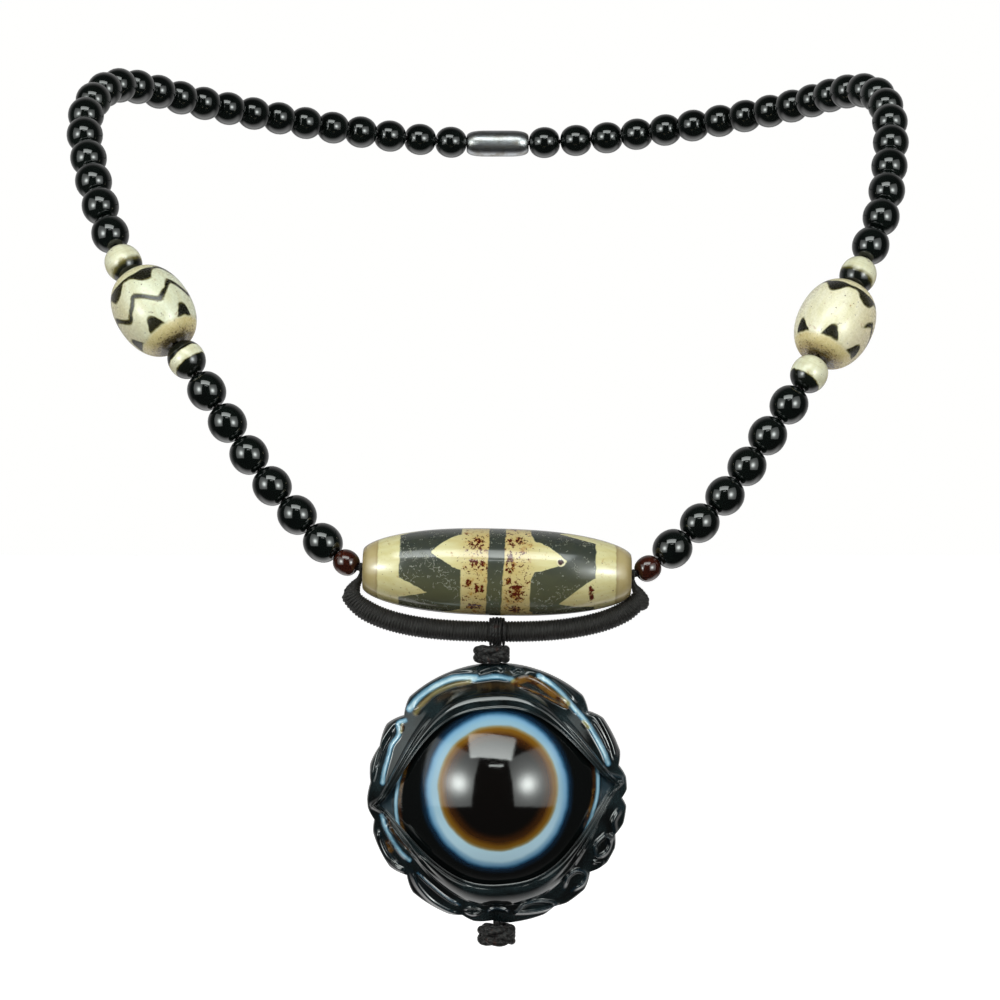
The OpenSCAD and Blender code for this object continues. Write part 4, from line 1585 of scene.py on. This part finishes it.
@dataclass
class Studio:
    """The camera, the pale floor, the softboxes and the pale surround."""

    camera_at: Triple = (0.46, -525.5, -68.92)
    lens: float = 98.3
    floor_z: float = -200.0
    floor_front: float = -60.0
    floor_half: float = 3.0
    aim: Triple = (0.0, -0.1, -0.1)
    tint: Triple = (0.94, 1.0, 0.97)

    def set_camera(self) -> None:
        """Stands the camera where the photograph was taken from, level."""
        data = bpy.data.cameras.new("photo_camera")
        data.lens, data.sensor_width, data.clip_start = self.lens, 36.0, 0.01
        camera = add_object("photo_camera", data)
        camera.location = Vector(self.camera_at) * MM
        camera.rotation_euler = (math.pi / 2, 0, 0)
        bpy.context.scene.camera = camera
        bpy.context.scene.view_settings.view_transform = "Standard"

    def add_softbox(self, name: str, turn: float, rise: float, away: float, size: Pair,
                    base: Pair, hearts: Sequence[Pair] = (), shift: Pair = (0.0, 0.0)) -> None:
        """Adds a softbox that faces the pendant, brighter round its heart and soft at its edges.

        Args:
            name: its name.
            turn: degrees round from straight in front, positive to the right.
            rise: degrees up.
            away: distance in metres.
            size: width and height in metres.
            base: brightness at its lower and its upper edge.
            hearts: brightness and reach in metres of each glow round its heart.
            shift: the heart's place from the softbox's middle, in metres.
        """
        data = bpy.data.lights.new(name, "AREA")
        data.shape, data.size, data.size_y = "RECTANGLE", size[0], size[1]
        data.energy, data.color = math.pi * size[0] * size[1], self.tint
        data.use_nodes = True
        sheet = Sheet(data.node_tree)
        spot = sheet.signal("ShaderNodeNewGeometry", {}, {}, "Parametric")
        across, up, _ = sheet.parts(spot)
        edge = across.least(1.0 - across).least(up.least(1.0 - up)).step(0.0, 0.07)
        glow = (up * (base[1] - base[0]) + base[0]) * edge
        away_2 = squares((across - 0.5) * size[0] - shift[0], (up - 0.5) * size[1] - shift[1])
        for bright, reach in hearts:
            glow = glow + sheet.maths("EXPONENT", away_2 * (-1 / reach ** 2)) * bright * edge
        sheet.plug(sheet.tree.nodes["Emission"].inputs["Strength"], glow)
        lamp = add_object(name, data)
        t, r = math.radians(turn), math.radians(rise)
        way = Vector((math.sin(t) * math.cos(r), -math.cos(t) * math.cos(r), math.sin(r)))
        lamp.location = Vector(self.aim) + way * away
        lamp.rotation_euler = way.to_track_quat("Z", "Y").to_euler()

    def build(self) -> None:
        """Builds the floor, the surround and the lights."""
        bm = bmesh.new()
        bmesh.ops.create_grid(bm, x_segments=1, y_segments=1, size=self.floor_half)
        recipe = Recipe("pale_floor", Base_Color=(0.93, 0.93, 0.92, 1), Roughness=0.9,
                        Emission_Color=(1, 1, 1, 1), Emission_Strength=0.8)
        floor = add_mesh("floor", bm, recipe.material)
        floor.location = (0, self.floor_half + self.floor_front * MM, self.floor_z * MM)
        floor.visible_glossy = False
        self.set_surround()
        self.add_softbox("softbox_top", -8, 51, 0.7, (0.6, 0.28), (6.0, 2.6))
        self.add_softbox("softbox_slot", -1, 33, 0.8, (0.24, 0.03), (5.0, 5.0))
        for side, turn, inward in (("left", -52, 0.105), ("right", 43, -0.095)):
            self.add_softbox(f"softbox_{side}", turn, 14, 0.75, (0.72, 0.85), (0.7, 0.7),
                             ((1.7, 0.3), (10.0, 0.12)), (inward, -0.05))

    def set_surround(self) -> None:
        """Gives a pale surround that is dark behind the camera, and white to the camera."""
        world = bpy.data.worlds.new("surround")
        bpy.context.scene.world = world
        world.use_nodes = True
        sheet = Sheet(world.node_tree)
        _, back, up = sheet.parts(sheet.signal("ShaderNodeTexCoord", {}, {}, "Generated"))
        seen, mirrored = (sheet.signal("ShaderNodeLightPath", {}, {}, f"Is {kind} Ray")
                          for kind in ("Camera", "Glossy"))
        light = back.step(0.1, 0.8) * (0.85 - mirrored * 0.5) + 0.03
        light = light + up.step(-0.4, -0.75) * back.step(-0.08, 0.35) * mirrored * 0.85
        sky = sheet.tree.nodes["Background"]
        sheet.plug(sky.inputs["Strength"], light.most(seen))
        sheet.plug(sky.inputs["Color"], (1, 1, 0.99, 1))


def make_finishes(pendant_middle: Vector) -> dict[str, bpy.types.Material]:
    """Builds every finish.

    Args:
        pendant_middle: where the pendant's pattern has its middle, in metres.

    Returns:
        The materials, by slot or by the node that has its own.
    """
    looks = {
        "black_agate": StoneGloss("black_agate_polished", "#030605", "#0c120f"),
        "garnet": StoneGloss("garnet_polished", "#2a0f08", "#4c2013"),
        "long": LongBeadFinish(),
        "zigzag_bead_left": ZigzagFinish(label="zigzag_agate_left", peak=-8),
        "zigzag_bead_right": ZigzagFinish(label="zigzag_agate_right", peak=4, faded=0.92,
                                          browned=0.6, cream="#f1ead0", cream_low="#e1d8aa"),
        "wound": CordFinish("wound_thread_waxed", "#070605", "#37322f", 6.0),
        "knot": CordFinish("knot_cord_waxed", "#030202", "#1a1412", 1.6, "#3a1a12"),
        "cord": CordFinish("pendant_cord_waxed", "#080605", "#241d1b", 1.2),
        "pendant": PendantFinish(middle=tuple(pendant_middle)),
        "metal": MetalFinish(),
        "thread": CordFinish("stringing_thread_waxed", "#0b0908", "#2a2422", 2.2),
    }
    for place, start, end, blur in (("upper_left", -9.0, 1.5, 1.0), ("upper_right", -9.0, 1.0, 0.8),
                                    ("lower_left", -0.6, 1.2, 0.25),
                                    ("lower_right", -2.4, 1.5, 0.25)):
        looks[f"banded_bead_{place}"] = BandedFinish(
            label=f"banded_agate_{place}", cream_from=start, cream_to=end, blur=blur)
    return {name: look.make() for name, look in looks.items()}


def corners(bounds: Sequence) -> list:
    """Bounds as plain lists of numbers."""
    return [[float(c) for c in corner] for corner in bounds]


def main() -> None:
    """Builds the studio, then every piece in order."""
    logging.basicConfig(level=logging.INFO, format="%(name)s: %(message)s")
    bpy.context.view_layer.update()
    studio = Studio()
    studio.set_camera()
    studio.build()
    pendant = EyePendant()
    finishes = make_finishes(pendant.middle())
    string = NeckString()
    for side in Side:
        string.build_side(side, finishes)
    string.long_bead.build(finishes["long"])
    string.build_clasp(finishes["metal"])
    string.build_thread(finishes["thread"])
    WrappedBar().build(finishes["wound"])
    HangingCord().build(finishes["knot"], finishes["cord"])
    pendant.build(finishes["pendant"])


if __name__ == "__main__":
    main()
